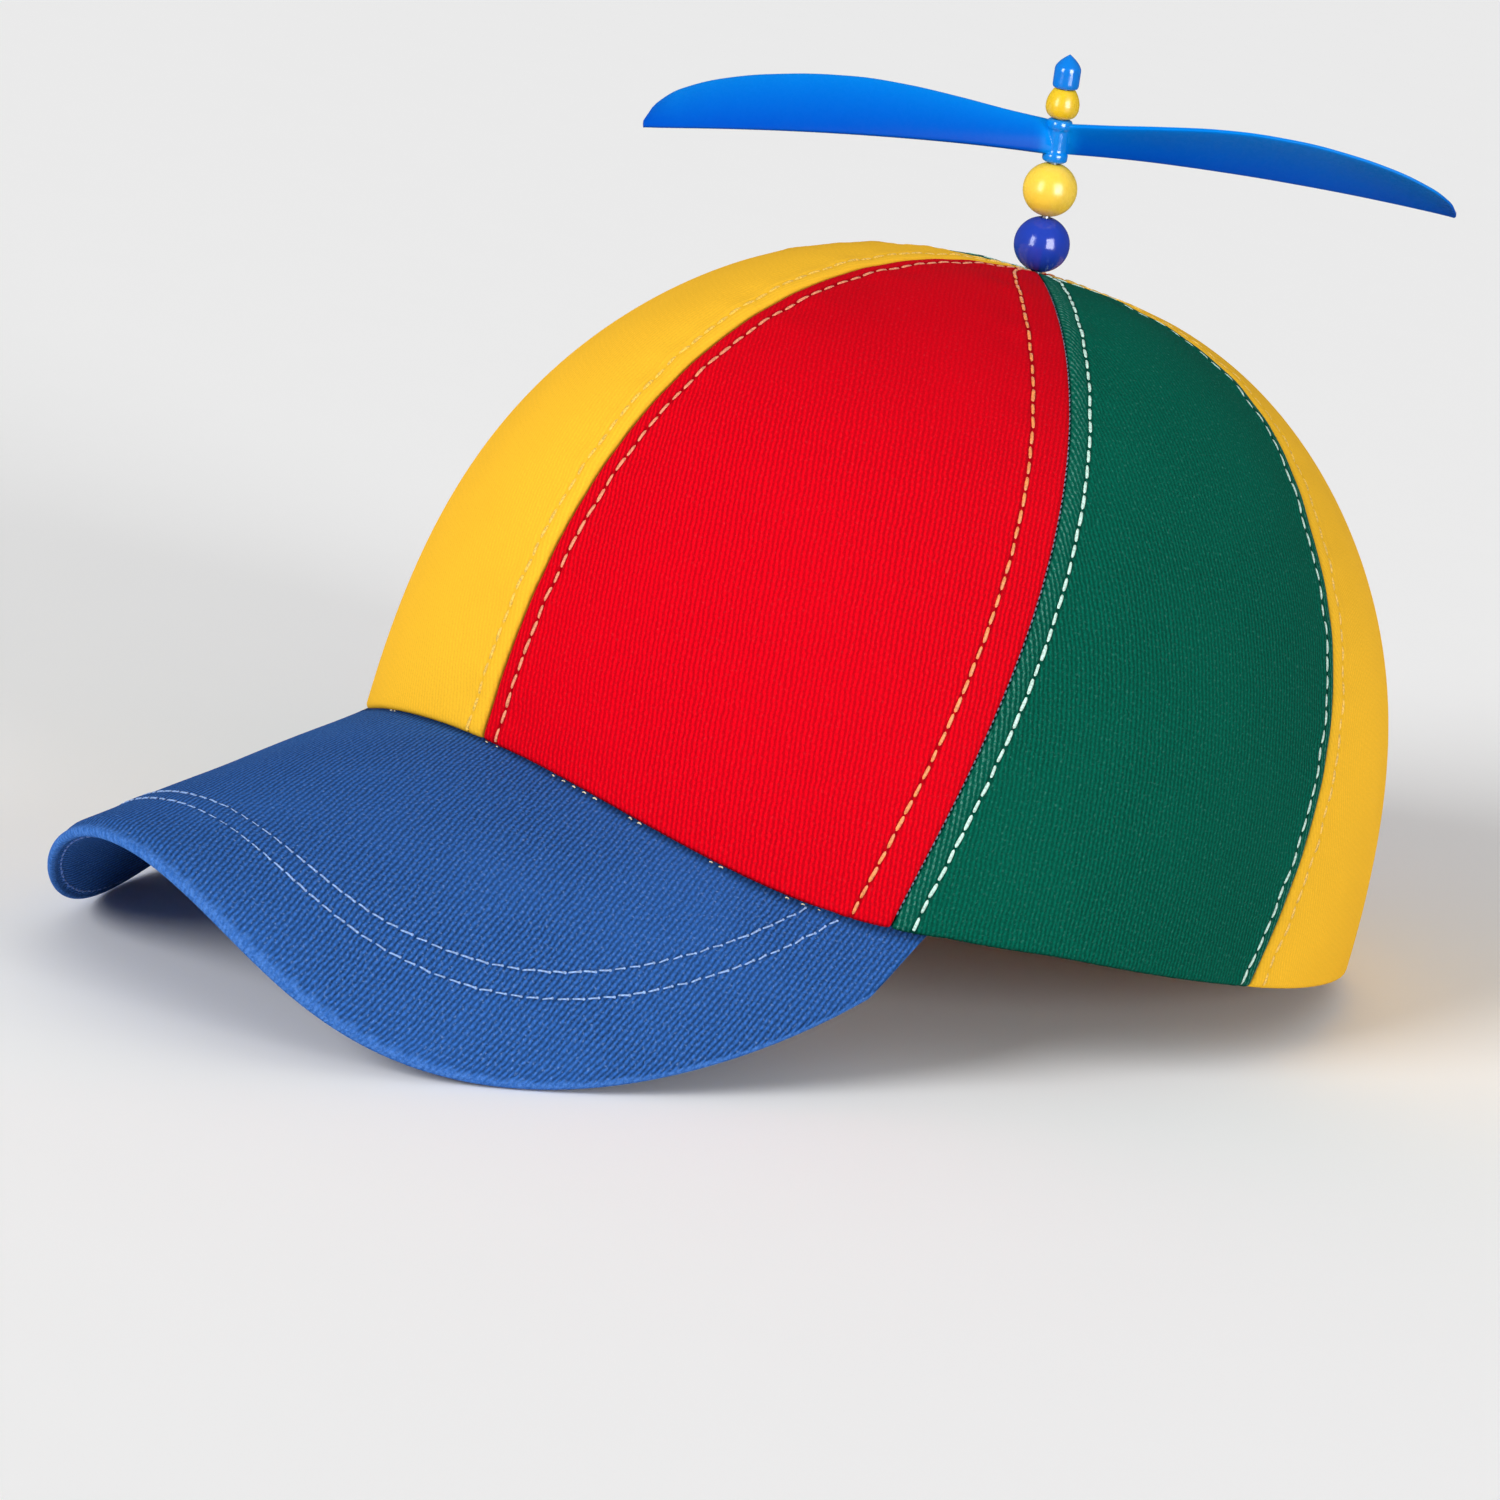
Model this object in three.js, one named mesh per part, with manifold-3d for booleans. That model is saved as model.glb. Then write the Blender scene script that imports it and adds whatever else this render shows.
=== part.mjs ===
import * as THREE from 'three';
import { mergeVertices } from 'three/addons/utils/BufferGeometryUtils.js';
import Module from 'manifold-3d';

const wasm = await Module();
wasm.setup();

// A six-panel cloth cap with an arched visor and a propeller that turns on a bead-dressed spindle.
// Millimetres, +Z up. The visor points to -Y and the wearer's left is +X. The cap rests as it would
// by itself, on the two low corners of its visor and the back of its rim.

// Crown: its rim is two half ellipses, and its walls close in to the top as a rounded dome
const RIM_FRONT = 105;
const RIM_BACK = 101.5;
const RIM_SIDE = 83.6;
const CROWN_HEIGHT = 108.3;
const PLAN_FULLNESS = 2.28;
const TOP_FULLNESS = 2.3;
const TOP_FORWARD = 1;
const CLOTH = 1.6;
const SEAM_GAP = 0.3;
const RIM_SETTLE = 1.5;
// The rim leaves the visor over this share more of the way than the visor reaches
const RIM_LEAVING = 1.25;

// Visor: a stiff sheet that slopes down to the front and arches ever tighter towards its edge
const VISOR_LENGTH = 79;
const VISOR_HALF_WIDTH = 82;
const VISOR_THICKNESS = 3.2;
const VISOR_EDGE = 2.2;
const VISOR_RISE = 7.2;
const VISOR_SLOPE = 18.2;
const ARCH_AT_CROWN = 87;
const ARCH_AT_EDGE = 29.8;
const VISOR_REACH = 58.5;
// How nearly the visor tapers to a point at its two ends, and how quickly it does
const VISOR_ENDS = 0.97;
const VISOR_TUCK = 6;
const EDGE_SIDE_ROUND = 1.89;
const EDGE_FRONT_ROUND = 3.24;
const VISOR_GAP = 0.3;
const SETTLING_ROUNDS = 40;

// Spindle and what it carries, measured up its own leaning axis
const SPINDLE_LEAN = 12.8;
const SPINDLE_RADIUS = 0.8;
const SPINDLE_HEAD_RADIUS = 4;
const SPINDLE_HEAD_THICKNESS = 1.2;
const SPINDLE_HEAD_GAP = 0.3;
const SPINDLE_TIP_GAP = 0.3;
const RUNNING_GAP = 0.1;
const STACK_GAP = 0.15;
const EYELET_ROOM = 0.9;
const LOWER_BEAD_RADIUS = 5.1;
const UPPER_BEAD_RADIUS = 4.95;
const HUB_RADIUS = 2.3;
const HUB_WAIST = 1.9;
const HUB_COLLAR = 1.6;
const HUB_STEP = 0.4;
const HUB_HEIGHT = 7.9;
const SMALL_BEAD_RADIUS = 3.05;
const SMALL_BEAD_HEIGHT = 5.4;
// A pear's outline is a stretch of a half wave: where it starts and ends, how low its belly sits and
// how full it is
const PEAR = { start: 0.05, span: 0.9, belly: 0.85, fullness: 0.6 };
const FINIAL_RADIUS = 2.4;
const FINIAL_HEIGHT = 6.2;
const FINIAL_POINT = 2.2;
const FINIAL_CHAMFER = 0.3;
// The knee of the finial's point, as shares of its radius and of the point's height
const FINIAL_KNEE = { radius: 0.62, height: 0.55 };

// Propeller
const BLADE_LENGTH = 75;
const BLADE_CHORD = 12.2;
const BLADE_THICKNESS = 1.6;
const BLADE_TIP_THICKNESS = 0.8;
const BLADE_CAMBER = 0.9;
const BLADE_DROOP = 5.8;
// How far the trailing edge hangs below the blade's line: at the hub, and as a share of the chord
const BLADE_TRAIL = 2.43;
const BLADE_TRAIL_SHARE = 0.05;
// A blade's edges keep this share of its thickness
const BLADE_EDGE_SHARE = 0.3;
const PROPELLER_TURN = 52.3;

// How finely the cloth and the turned pieces are faceted
const PANEL_ROWS = 9;
const VISOR_COLUMNS = 28;
const TURNED_SIDES = 16;
const TURNED_STEPS = 8;
const BLADE_STEPS = [0, 0.12, 0.35, 0.6, 0.85, 1];

// Seams: where each one meets the rim, in degrees round from the middle of the front, how far it bows
// towards the back at half height, and how far it swings to the back on the way from there to the top
const SWING_START = 0.45;
const SEAMS = {
  front: { rim: 0, bow: 0, swing: 0 },
  fore: { rim: 52.2, bow: 7.3, swing: 0 },
  rear: { rim: 98.3, bow: 9.4, swing: 25 },
  back: { rim: 180, bow: 0, swing: 0 },
};

// Panels, named for the wearer's own left and right
const PANELS = [
  { name: 'panel_front_left', from: 'front', to: 'fore', side: 1, colour: 'red', columns: 9 },
  { name: 'panel_side_left', from: 'fore', to: 'rear', side: 1, colour: 'green', columns: 8 },
  { name: 'panel_back_left', from: 'rear', to: 'back', side: 1, colour: 'yellow', columns: 13 },
  { name: 'panel_front_right', from: 'front', to: 'fore', side: -1, colour: 'yellow', columns: 9 },
  { name: 'panel_side_right', from: 'fore', to: 'rear', side: -1, colour: 'green', columns: 8 },
  { name: 'panel_back_right', from: 'rear', to: 'back', side: -1, colour: 'red', columns: 13 },
];

// Rows of the visor from the crown to its edge, as shares of the way, and of the thickness change
const VISOR_ROWS = [
  { out: 0, thinning: 0 },
  { out: 0.2, thinning: 0 },
  { out: 0.4, thinning: 0 },
  { out: 0.6, thinning: 0 },
  { out: 0.8, thinning: 0 },
  { out: 0.97, thinning: 0 },
  { out: 1, thinning: 1 },
];

// Sections of a blade: how far out, the share of the full chord, and the pitch in degrees
const BLADE_SECTIONS = [
  { out: 0.015, chord: 0.52, pitch: 65 },
  { out: 0.12, chord: 0.6, pitch: 59 },
  { out: 0.24, chord: 0.74, pitch: 54 },
  { out: 0.37, chord: 0.88, pitch: 52 },
  { out: 0.5, chord: 0.98, pitch: 49 },
  { out: 0.61, chord: 1, pitch: 47 },
  { out: 0.71, chord: 1, pitch: 43 },
  { out: 0.82, chord: 0.95, pitch: 38 },
  { out: 0.91, chord: 0.82, pitch: 32 },
  { out: 0.97, chord: 0.52, pitch: 28 },
  { out: 1, chord: 0.12, pitch: 26 },
];

const COLOURS = {
  red: 0xd60a22,
  green: 0x006a52,
  yellow: 0xfdc233,
  blue: 0x275cab,
  deepBlue: 0x2c3fae,
  paleYellow: 0xf8d648,
  plasticBlue: 0x0a63d0,
  steel: 0xb8bcc2,
};

const radians = THREE.MathUtils.degToRad;

function cloth(colour) {
  return new THREE.MeshStandardMaterial({ color: COLOURS[colour], roughness: 0.85, metalness: 0 });
}

function plastic(colour) {
  return new THREE.MeshStandardMaterial({ color: COLOURS[colour], roughness: 0.2, metalness: 0 });
}

function named(name, geometry, material) {
  const mesh = new THREE.Mesh(geometry, material);
  mesh.name = name;
  return mesh;
}

// A power that keeps its sign, as rounded outlines need
function signedPower(value, power) {
  return Math.sign(value) * Math.pow(Math.abs(value), power);
}

// A closed body between two grids of points that run alike, one over the other
function sheetBody(upper, lower) {
  const rows = upper.length;
  const columns = upper[0].length;
  const points = [...upper.flat(), ...lower.flat()];
  const top = (row, column) => row * columns + column;
  const under = (row, column) => top(row, column) + rows * columns;
  const faces = [];
  const quad = (a, b, c, d) => faces.push(a, b, c, a, c, d);
  for (let row = 0; row + 1 < rows; row += 1) {
    for (let column = 0; column + 1 < columns; column += 1) {
      quad(top(row, column), top(row + 1, column), top(row + 1, column + 1), top(row, column + 1));
      quad(under(row, column), under(row, column + 1), under(row + 1, column + 1), under(row + 1, column));
    }
    const last = columns - 1;
    quad(top(row, 0), under(row, 0), under(row + 1, 0), top(row + 1, 0));
    quad(top(row, last), top(row + 1, last), under(row + 1, last), under(row, last));
  }
  for (let column = 0; column + 1 < columns; column += 1) {
    const last = rows - 1;
    quad(top(0, column), top(0, column + 1), under(0, column + 1), under(0, column));
    quad(top(last, column), under(last, column), under(last, column + 1), top(last, column + 1));
  }
  let volume = 0;
  for (let index = 0; index < faces.length; index += 3) {
    const [a, b, c] = [faces[index], faces[index + 1], faces[index + 2]].map((at) => points[at]);
    volume += a.dot(new THREE.Vector3().crossVectors(b, c));
  }
  if (volume < 0) {
    faces.reverse();
  }
  const geometry = new THREE.BufferGeometry().setFromPoints(points);
  geometry.setIndex(faces);
  geometry.computeVertexNormals();
  return geometry;
}

// Between the library's solids and three's geometry
function solidOf(geometry) {
  const bare = geometry.clone();
  bare.deleteAttribute('normal');
  bare.deleteAttribute('uv');
  const merged = mergeVertices(bare, 1e-4);
  const vertProperties = new Float32Array(merged.attributes.position.array);
  const triVerts = new Uint32Array(merged.index.array);
  return new wasm.Manifold(new wasm.Mesh({ numProp: 3, vertProperties, triVerts }));
}

function geometryOf(solid) {
  const mesh = solid.getMesh();
  const geometry = new THREE.BufferGeometry();
  geometry.setAttribute('position', new THREE.BufferAttribute(mesh.vertProperties, 3));
  geometry.setIndex(new THREE.BufferAttribute(mesh.triVerts, 1));
  geometry.computeVertexNormals();
  return geometry;
}

// Where the rim runs, at an angle from the middle of the front and a depth inside the cloth
function rimAt(angle, depth) {
  const reach = (Math.cos(angle) > 0 ? RIM_FRONT : RIM_BACK) - depth;
  return { x: (RIM_SIDE - depth) * Math.sin(angle), y: -reach * Math.cos(angle) };
}

// The visor's arch is tighter the further down its slope a place lies
function archRadius(down) {
  const radius = ARCH_AT_CROWN + (ARCH_AT_EDGE - ARCH_AT_CROWN) * (down / VISOR_LENGTH);
  return Math.max(radius, VISOR_THICKNESS * 3);
}

// A point of the visor, from how far across the sheet it lies, how far down it and how deep in it
function visorPoint(across, down, depth) {
  const slope = radians(VISOR_SLOPE);
  const radius = archRadius(down);
  const turn = across / radius;
  const drop = radius * (1 - Math.cos(turn)) + depth * Math.cos(turn);
  return new THREE.Vector3(
    (radius - depth) * Math.sin(turn),
    -RIM_FRONT - Math.cos(slope) * down + Math.sin(slope) * drop,
    VISOR_RISE - Math.sin(slope) * down - Math.cos(slope) * drop,
  );
}

// The place on the visor's top that lies over or under a point of the plan
function visorBelow(x, y) {
  const slope = radians(VISOR_SLOPE);
  let down = -(y + RIM_FRONT);
  let radius = archRadius(down);
  for (let round = 0; round < SETTLING_ROUNDS; round += 1) {
    radius = archRadius(down);
    const drop = radius - Math.sqrt(Math.max(radius * radius - x * x, 0));
    const wanted = (Math.sin(slope) * drop - (y + RIM_FRONT)) / Math.cos(slope);
    down = (down + wanted) / 2;
  }
  const across = radius * Math.asin(THREE.MathUtils.clamp(x / radius, -1, 1));
  return { across, down, height: visorPoint(across, down, 0).z };
}

// The cap leans back until the floor touches the visor's corners and the settled back of the rim
function restingPitch(visor) {
  const place = visor.attributes.position;
  let pitch = 0;
  for (let index = 0; index < place.count; index += 1) {
    const rise = RIM_SETTLE - place.getZ(index);
    pitch = Math.max(pitch, Math.atan2(rise, RIM_BACK - place.getY(index)));
  }
  return pitch;
}

// Lower edge of the crown: it sits on the visor, runs level round the sides and lies flat on the
// floor at the back
function rimHeight(angle, depth) {
  const reach = radians(VISOR_REACH);
  const turn = Math.abs(angle);
  const over = rimAt(Math.min(turn, reach), depth);
  const onVisor = visorBelow(over.x, over.y).height + VISOR_GAP;
  const leaving = THREE.MathUtils.smoothstep(turn, reach, reach * RIM_LEAVING);
  const { y } = rimAt(angle, depth);
  const floor = RIM_SETTLE - (RIM_BACK - y) * Math.tan(pitch);
  return Math.max(onVisor * (1 - leaving), turn > reach ? floor : -Infinity);
}

// A point of the crown's wall, from the rim at 0 to the top at 1
function crownPoint(angle, rise, depth) {
  const climb = (rise * Math.PI) / 2;
  const reach = Math.pow(Math.cos(climb), 2 / PLAN_FULLNESS);
  const lift = Math.pow(Math.sin(climb), 2 / TOP_FULLNESS);
  const rim = rimAt(angle, depth);
  return new THREE.Vector3(
    rim.x * reach,
    rim.y * reach - TOP_FORWARD * lift,
    rimHeight(angle, depth) * (1 - lift) + (CROWN_HEIGHT - depth) * lift,
  );
}

// How far up the wall the panels stop, to leave the eyelet that the spindle passes through
function eyeletRise() {
  const share = (SPINDLE_RADIUS + EYELET_ROOM) / RIM_SIDE;
  return (Math.acos(Math.pow(share, PLAN_FULLNESS / 2)) * 2) / Math.PI;
}

function seamAngle(seam, rise) {
  const { rim, bow, swing } = SEAMS[seam];
  const swung = swing * THREE.MathUtils.smoothstep(rise, SWING_START, 1);
  return radians(rim + bow * 4 * rise * (1 - rise) + swung);
}

// Half a seam's gap as an angle, which grows to the top because the panels close in there
function gapAngle(angle, rise) {
  const reach = Math.pow(Math.cos((rise * Math.PI) / 2), 2 / PLAN_FULLNESS);
  const pace = Math.hypot(RIM_SIDE * Math.cos(angle), RIM_FRONT * Math.sin(angle)) * reach;
  return SEAM_GAP / 2 / pace;
}

function panelGeometry({ from, to, side, columns }) {
  const stop = eyeletRise();
  const face = (depth) => Array.from({ length: PANEL_ROWS + 1 }, (_, row) => {
    const rise = (row / PANEL_ROWS) * stop;
    const start = seamAngle(from, rise) + gapAngle(seamAngle(from, rise), rise);
    const end = seamAngle(to, rise) - gapAngle(seamAngle(to, rise), rise);
    return Array.from({ length: columns + 1 }, (_unused, column) => {
      const angle = THREE.MathUtils.lerp(start, end, column / columns);
      return crownPoint(side * angle, rise, depth);
    });
  });
  return sheetBody(face(0), face(CLOTH));
}

// The visor's outer edge, from -1 at the wearer's right end to 1 at the left
function visorEdge(along) {
  const turn = (along * Math.PI) / 2;
  const end = rimAt(radians(VISOR_REACH), 0);
  const root = visorBelow(end.x, end.y);
  const forward = Math.pow(Math.max(Math.cos(turn), 0), 2 / EDGE_FRONT_ROUND);
  const wide = VISOR_HALF_WIDTH * signedPower(Math.sin(turn), 2 / EDGE_SIDE_ROUND);
  const tuck = Math.sign(along) * (root.across - VISOR_HALF_WIDTH) * Math.pow(1 - forward, VISOR_TUCK);
  return { across: wide + tuck, down: THREE.MathUtils.lerp(root.down, VISOR_LENGTH, forward) };
}

function visorGeometry() {
  const face = (deep) => VISOR_ROWS.map(({ out, thinning }) => {
    const thickness = THREE.MathUtils.lerp(VISOR_THICKNESS, VISOR_EDGE, thinning);
    const shaved = (VISOR_THICKNESS - thickness) / 2;
    return Array.from({ length: VISOR_COLUMNS + 1 }, (_, column) => {
      const along = VISOR_ENDS * (2 * (column / VISOR_COLUMNS) - 1);
      const rim = rimAt(along * radians(VISOR_REACH), CLOTH);
      const inner = visorBelow(rim.x, rim.y);
      const outer = visorEdge(along);
      const across = THREE.MathUtils.lerp(inner.across, outer.across, out);
      const down = THREE.MathUtils.lerp(inner.down, outer.down, out);
      return visorPoint(across, down, deep ? shaved + thickness : shaved);
    });
  });
  return sheetBody(face(false), face(true));
}

// Turned pieces: a profile of [radius, height] pairs swung round the spindle's axis
function turned(profile) {
  const points = profile.map(([radius, height]) => new THREE.Vector2(radius, height));
  const geometry = new THREE.LatheGeometry(points, TURNED_SIDES);
  return geometry.rotateX(Math.PI / 2);
}

const boreRadius = SPINDLE_RADIUS + RUNNING_GAP;

function ballGeometry(radius) {
  const flat = Math.acos(boreRadius / radius);
  const profile = Array.from({ length: TURNED_STEPS + 1 }, (_, step) => {
    const angle = THREE.MathUtils.lerp(-flat, flat, step / TURNED_STEPS);
    return [radius * Math.cos(angle), radius * Math.sin(angle)];
  });
  return turned([...profile, profile[0]]);
}

// A pear-shaped bead, widest below its middle
function pearGeometry() {
  const profile = Array.from({ length: TURNED_STEPS + 1 }, (_, step) => {
    const up = step / TURNED_STEPS;
    const wave = Math.sin(Math.PI * Math.pow(PEAR.start + PEAR.span * up, PEAR.belly));
    const radius = THREE.MathUtils.lerp(boreRadius, SMALL_BEAD_RADIUS, Math.pow(wave, PEAR.fullness));
    return [radius, up * SMALL_BEAD_HEIGHT];
  });
  const top = [boreRadius, SMALL_BEAD_HEIGHT];
  const bottom = [boreRadius, 0];
  return turned([bottom, ...profile, top, bottom]);
}

function finialGeometry() {
  const shoulder = FINIAL_HEIGHT - FINIAL_POINT;
  const socket = shoulder - SPINDLE_TIP_GAP;
  return turned([
    [0, socket],
    [boreRadius, socket],
    [boreRadius, 0],
    [FINIAL_RADIUS - FINIAL_CHAMFER, 0],
    [FINIAL_RADIUS, FINIAL_CHAMFER],
    [FINIAL_RADIUS, shoulder],
    [FINIAL_RADIUS * FINIAL_KNEE.radius, shoulder + FINIAL_POINT * FINIAL_KNEE.height],
    [0, FINIAL_HEIGHT],
  ]);
}

function hubGeometry() {
  return turned([
    [boreRadius, 0],
    [HUB_RADIUS, 0],
    [HUB_RADIUS, HUB_COLLAR],
    [HUB_WAIST, HUB_COLLAR + HUB_STEP],
    [HUB_WAIST, HUB_HEIGHT - HUB_COLLAR - HUB_STEP],
    [HUB_RADIUS, HUB_HEIGHT - HUB_COLLAR],
    [HUB_RADIUS, HUB_HEIGHT],
    [boreRadius, HUB_HEIGHT],
    [boreRadius, 0],
  ]);
}

// One blade along +X from the middle of the hub. Its trailing edge hangs a little below the
// blade's own line, its leading edge rises, and its tip droops
function bladeGeometry() {
  const face = (over) => BLADE_SECTIONS.map(({ out, chord, pitch: tilt }) => {
    const width = BLADE_CHORD * chord;
    const trail = BLADE_TRAIL * (1 - out) + BLADE_TRAIL_SHARE * width;
    const thickness = THREE.MathUtils.lerp(BLADE_THICKNESS, BLADE_TIP_THICKNESS, out);
    return BLADE_STEPS.map((share) => {
      const along = share * width - trail;
      const swell = 4 * share * (1 - share);
      const fat = thickness * THREE.MathUtils.lerp(BLADE_EDGE_SHARE, 1, Math.sqrt(swell));
      const bow = BLADE_CAMBER * swell * chord + (over ? fat / 2 : -fat / 2);
      const turn = radians(tilt);
      return new THREE.Vector3(
        out * BLADE_LENGTH,
        -Math.cos(turn) * along + Math.sin(turn) * bow,
        Math.sin(turn) * along + Math.cos(turn) * bow - BLADE_DROOP * out * out,
      );
    });
  });
  return sheetBody(face(true), face(false));
}

function propellerGeometry() {
  const blade = bladeGeometry().translate(0, 0, HUB_HEIGHT / 2);
  const bore = new THREE.CylinderGeometry(boreRadius, boreRadius, HUB_HEIGHT * 2, TURNED_SIDES);
  bore.rotateX(Math.PI / 2);
  const blades = solidOf(blade).add(solidOf(blade.clone().rotateZ(Math.PI)));
  return geometryOf(solidOf(hubGeometry()).add(blades).subtract(solidOf(bore)));
}

// Heights of the stack up the spindle, from where it leaves the crown's outer face
const lean = radians(SPINDLE_LEAN);
const lowerBeadAt = (LOWER_BEAD_RADIUS + STACK_GAP) / Math.cos(lean);
const upperBeadAt = lowerBeadAt + LOWER_BEAD_RADIUS + STACK_GAP + UPPER_BEAD_RADIUS;
const hubAt = upperBeadAt + UPPER_BEAD_RADIUS + STACK_GAP;
const smallBeadAt = hubAt + HUB_HEIGHT + STACK_GAP;
const finialAt = smallBeadAt + SMALL_BEAD_HEIGHT + STACK_GAP;

// A plain pin whose flat head bears on the inside of the crown and whose tip ends in the finial
function spindleGeometry() {
  const headTop = -(CLOTH + SPINDLE_HEAD_GAP + SPINDLE_HEAD_RADIUS * Math.sin(lean)) / Math.cos(lean);
  const headBottom = headTop - SPINDLE_HEAD_THICKNESS;
  const tip = finialAt + FINIAL_HEIGHT - FINIAL_POINT - 2 * SPINDLE_TIP_GAP;
  return turned([
    [0, headBottom],
    [SPINDLE_HEAD_RADIUS, headBottom],
    [SPINDLE_HEAD_RADIUS, headTop],
    [SPINDLE_RADIUS, headTop],
    [SPINDLE_RADIUS, tip],
    [0, tip],
  ]);
}

function spindleGroup() {
  const group = new THREE.Group();
  const steel = new THREE.MeshStandardMaterial({ color: COLOURS.steel, roughness: 0.35, metalness: 0.9 });
  const lower = named('bead_lower', ballGeometry(LOWER_BEAD_RADIUS), plastic('deepBlue'));
  const upper = named('bead_upper', ballGeometry(UPPER_BEAD_RADIUS), plastic('paleYellow'));
  const propeller = named('propeller', propellerGeometry(), plastic('plasticBlue'));
  const small = named('bead_small', pearGeometry(), plastic('paleYellow'));
  const finial = named('finial', finialGeometry(), plastic('plasticBlue'));
  lower.position.z = lowerBeadAt;
  upper.position.z = upperBeadAt;
  propeller.position.z = hubAt;
  propeller.rotation.z = radians(PROPELLER_TURN);
  small.position.z = smallBeadAt;
  finial.position.z = finialAt;
  group.add(named('spindle', spindleGeometry(), steel), lower, upper, propeller, small, finial);
  group.position.set(0, -TOP_FORWARD, CROWN_HEIGHT);
  group.rotation.x = lean;
  return group;
}

const visorShape = visorGeometry();
const pitch = restingPitch(visorShape);

const cap = new THREE.Group();
cap.add(named('visor', visorShape, cloth('blue')));
PANELS.forEach((panel) => cap.add(named(panel.name, panelGeometry(panel), cloth(panel.colour))));
cap.add(spindleGroup());
cap.rotation.x = -pitch;

// The origin is on the floor, under the middle of the whole cap
const root = new THREE.Group();
root.add(cap);
root.updateMatrixWorld(true);
const bounds = new THREE.Box3().setFromObject(root, true);
cap.position.set(0, -(bounds.min.y + bounds.max.y) / 2, -bounds.min.z);

export default root;
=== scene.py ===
import math

import bmesh
import bpy
import numpy as np
from bpy.props import FloatProperty, FloatVectorProperty, IntProperty, PointerProperty
from mathutils import Matrix, Vector


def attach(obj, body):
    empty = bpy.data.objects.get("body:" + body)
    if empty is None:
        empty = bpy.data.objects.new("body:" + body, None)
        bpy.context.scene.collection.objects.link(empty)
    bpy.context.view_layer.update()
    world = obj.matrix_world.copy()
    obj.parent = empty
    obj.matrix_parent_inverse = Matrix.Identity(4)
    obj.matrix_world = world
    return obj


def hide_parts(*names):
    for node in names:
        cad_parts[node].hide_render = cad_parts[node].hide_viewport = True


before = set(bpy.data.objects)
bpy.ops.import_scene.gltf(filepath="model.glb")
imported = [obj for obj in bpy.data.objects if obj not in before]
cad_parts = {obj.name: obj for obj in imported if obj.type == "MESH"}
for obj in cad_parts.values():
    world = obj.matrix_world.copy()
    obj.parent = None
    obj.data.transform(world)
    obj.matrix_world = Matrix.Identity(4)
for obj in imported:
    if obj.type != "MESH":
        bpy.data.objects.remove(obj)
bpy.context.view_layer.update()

bl_info = {
    "name": "Propeller cap",
    "version": (1, 0, 0),
    "blender": (4, 5, 0),
    "location": "View3D > Sidebar > Propeller cap",
    "description": "Dresses a panelled cloth cap and the propeller on its top",
    "category": "Object",
}

# The cap's own form, in millimetres and degrees, in the frame in which its crown stands upright

# Crown
RIM_FRONT = 105
RIM_BACK = 101.5
RIM_SIDE = 83.6
CROWN_HEIGHT = 108.3
PLAN_FULLNESS = 2.28
TOP_FULLNESS = 2.3
TOP_FORWARD = 1
RIM_SETTLE = 1.5
RIM_LEAVING = 1.25
EYELET = 1.7
SEAMS = {"front": (0, 0, 0), "fore": (52.2, 7.3, 0), "rear": (98.3, 9.4, 25), "back": (180, 0, 0)}
SWING_START = 0.45

# Visor
VISOR_LENGTH = 79
VISOR_HALF_WIDTH = 82
VISOR_RISE = 7.2
VISOR_SLOPE = math.radians(18.2)
ARCH_AT_CROWN = 87
ARCH_AT_EDGE = 29.8
ARCH_LEAST = 9.6
VISOR_REACH = math.radians(58.5)
VISOR_ENDS = 0.97
VISOR_TUCK = 6
EDGE_SIDE_ROUND = 1.89
EDGE_FRONT_ROUND = 3.24
SETTLING_ROUNDS = 40

# Spindle and propeller
SPINDLE_LEAN = math.radians(12.8)
BORE_RADIUS = 0.9
STACK_GAP = 0.15
LOWER_BEAD_RADIUS = 5.1
UPPER_BEAD_RADIUS = 4.95
HUB_RADIUS = 2.3
HUB_WAIST = 1.9
HUB_COLLAR = 1.6
HUB_HEIGHT = 7.9
SMALL_BEAD_RADIUS = 3.05
SMALL_BEAD_HEIGHT = 5.4
FINIAL_RADIUS = 2.4
FINIAL_HEIGHT = 6.2
FINIAL_POINT = 2.8
FINIAL_DEPTH = 0.25
BLADE_LENGTH = 75
BLADE_CHORD = 12.2
BLADE_DROOP = 5.8
BLADE_TRAIL = 2.43
BLADE_TRAIL_SHARE = 0.05
PROPELLER_TURN = math.radians(52.3)
BLADE_OUT = (0.015, 0.12, 0.24, 0.37, 0.5, 0.61, 0.71, 0.82, 0.91, 0.97, 1)
BLADE_WIDTHS = (0.52, 0.6, 0.74, 0.88, 0.98, 1, 1, 0.95, 0.82, 0.52, 0.12)
BLADE_PITCHES = (65, 59, 54, 52, 49, 47, 43, 38, 32, 28, 26)

# How far the cap leans back as it rests, and where its own origin then lies
REST_PITCH = math.radians(10.1297)
REST_PLACE = (0, 38.7586, 16.3749)

# Panels, named for the wearer's own left and right, with the distance from each seam to its stitches
PANELS = {
    "panel_front_left": ("front", "fore", 1, "red", 3.6, 7.4),
    "panel_side_left": ("fore", "rear", 1, "green", 3.7, 3.3),
    "panel_back_left": ("rear", "back", 1, "yellow", 3.6, 3.6),
    "panel_front_right": ("front", "fore", -1, "yellow", 3.6, 7.4),
    "panel_side_right": ("fore", "rear", -1, "green", 3.7, 3.3),
    "panel_back_right": ("rear", "back", -1, "red", 3.6, 3.6),
}


def smoothstep(low, high, value):
    share = np.clip((value - low) / (high - low), 0, 1)
    return share * share * (3 - 2 * share)


def lerp(start, end, share):
    return start + (end - start) * share


def rounded(distance, radius):
    """How far a rounded edge lies below its face, from 1 at the edge to 0 a radius away."""
    return 1 - np.sqrt(np.clip(1 - np.clip(1 - distance / radius, 0, 1) ** 2, 0, 1))


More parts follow.
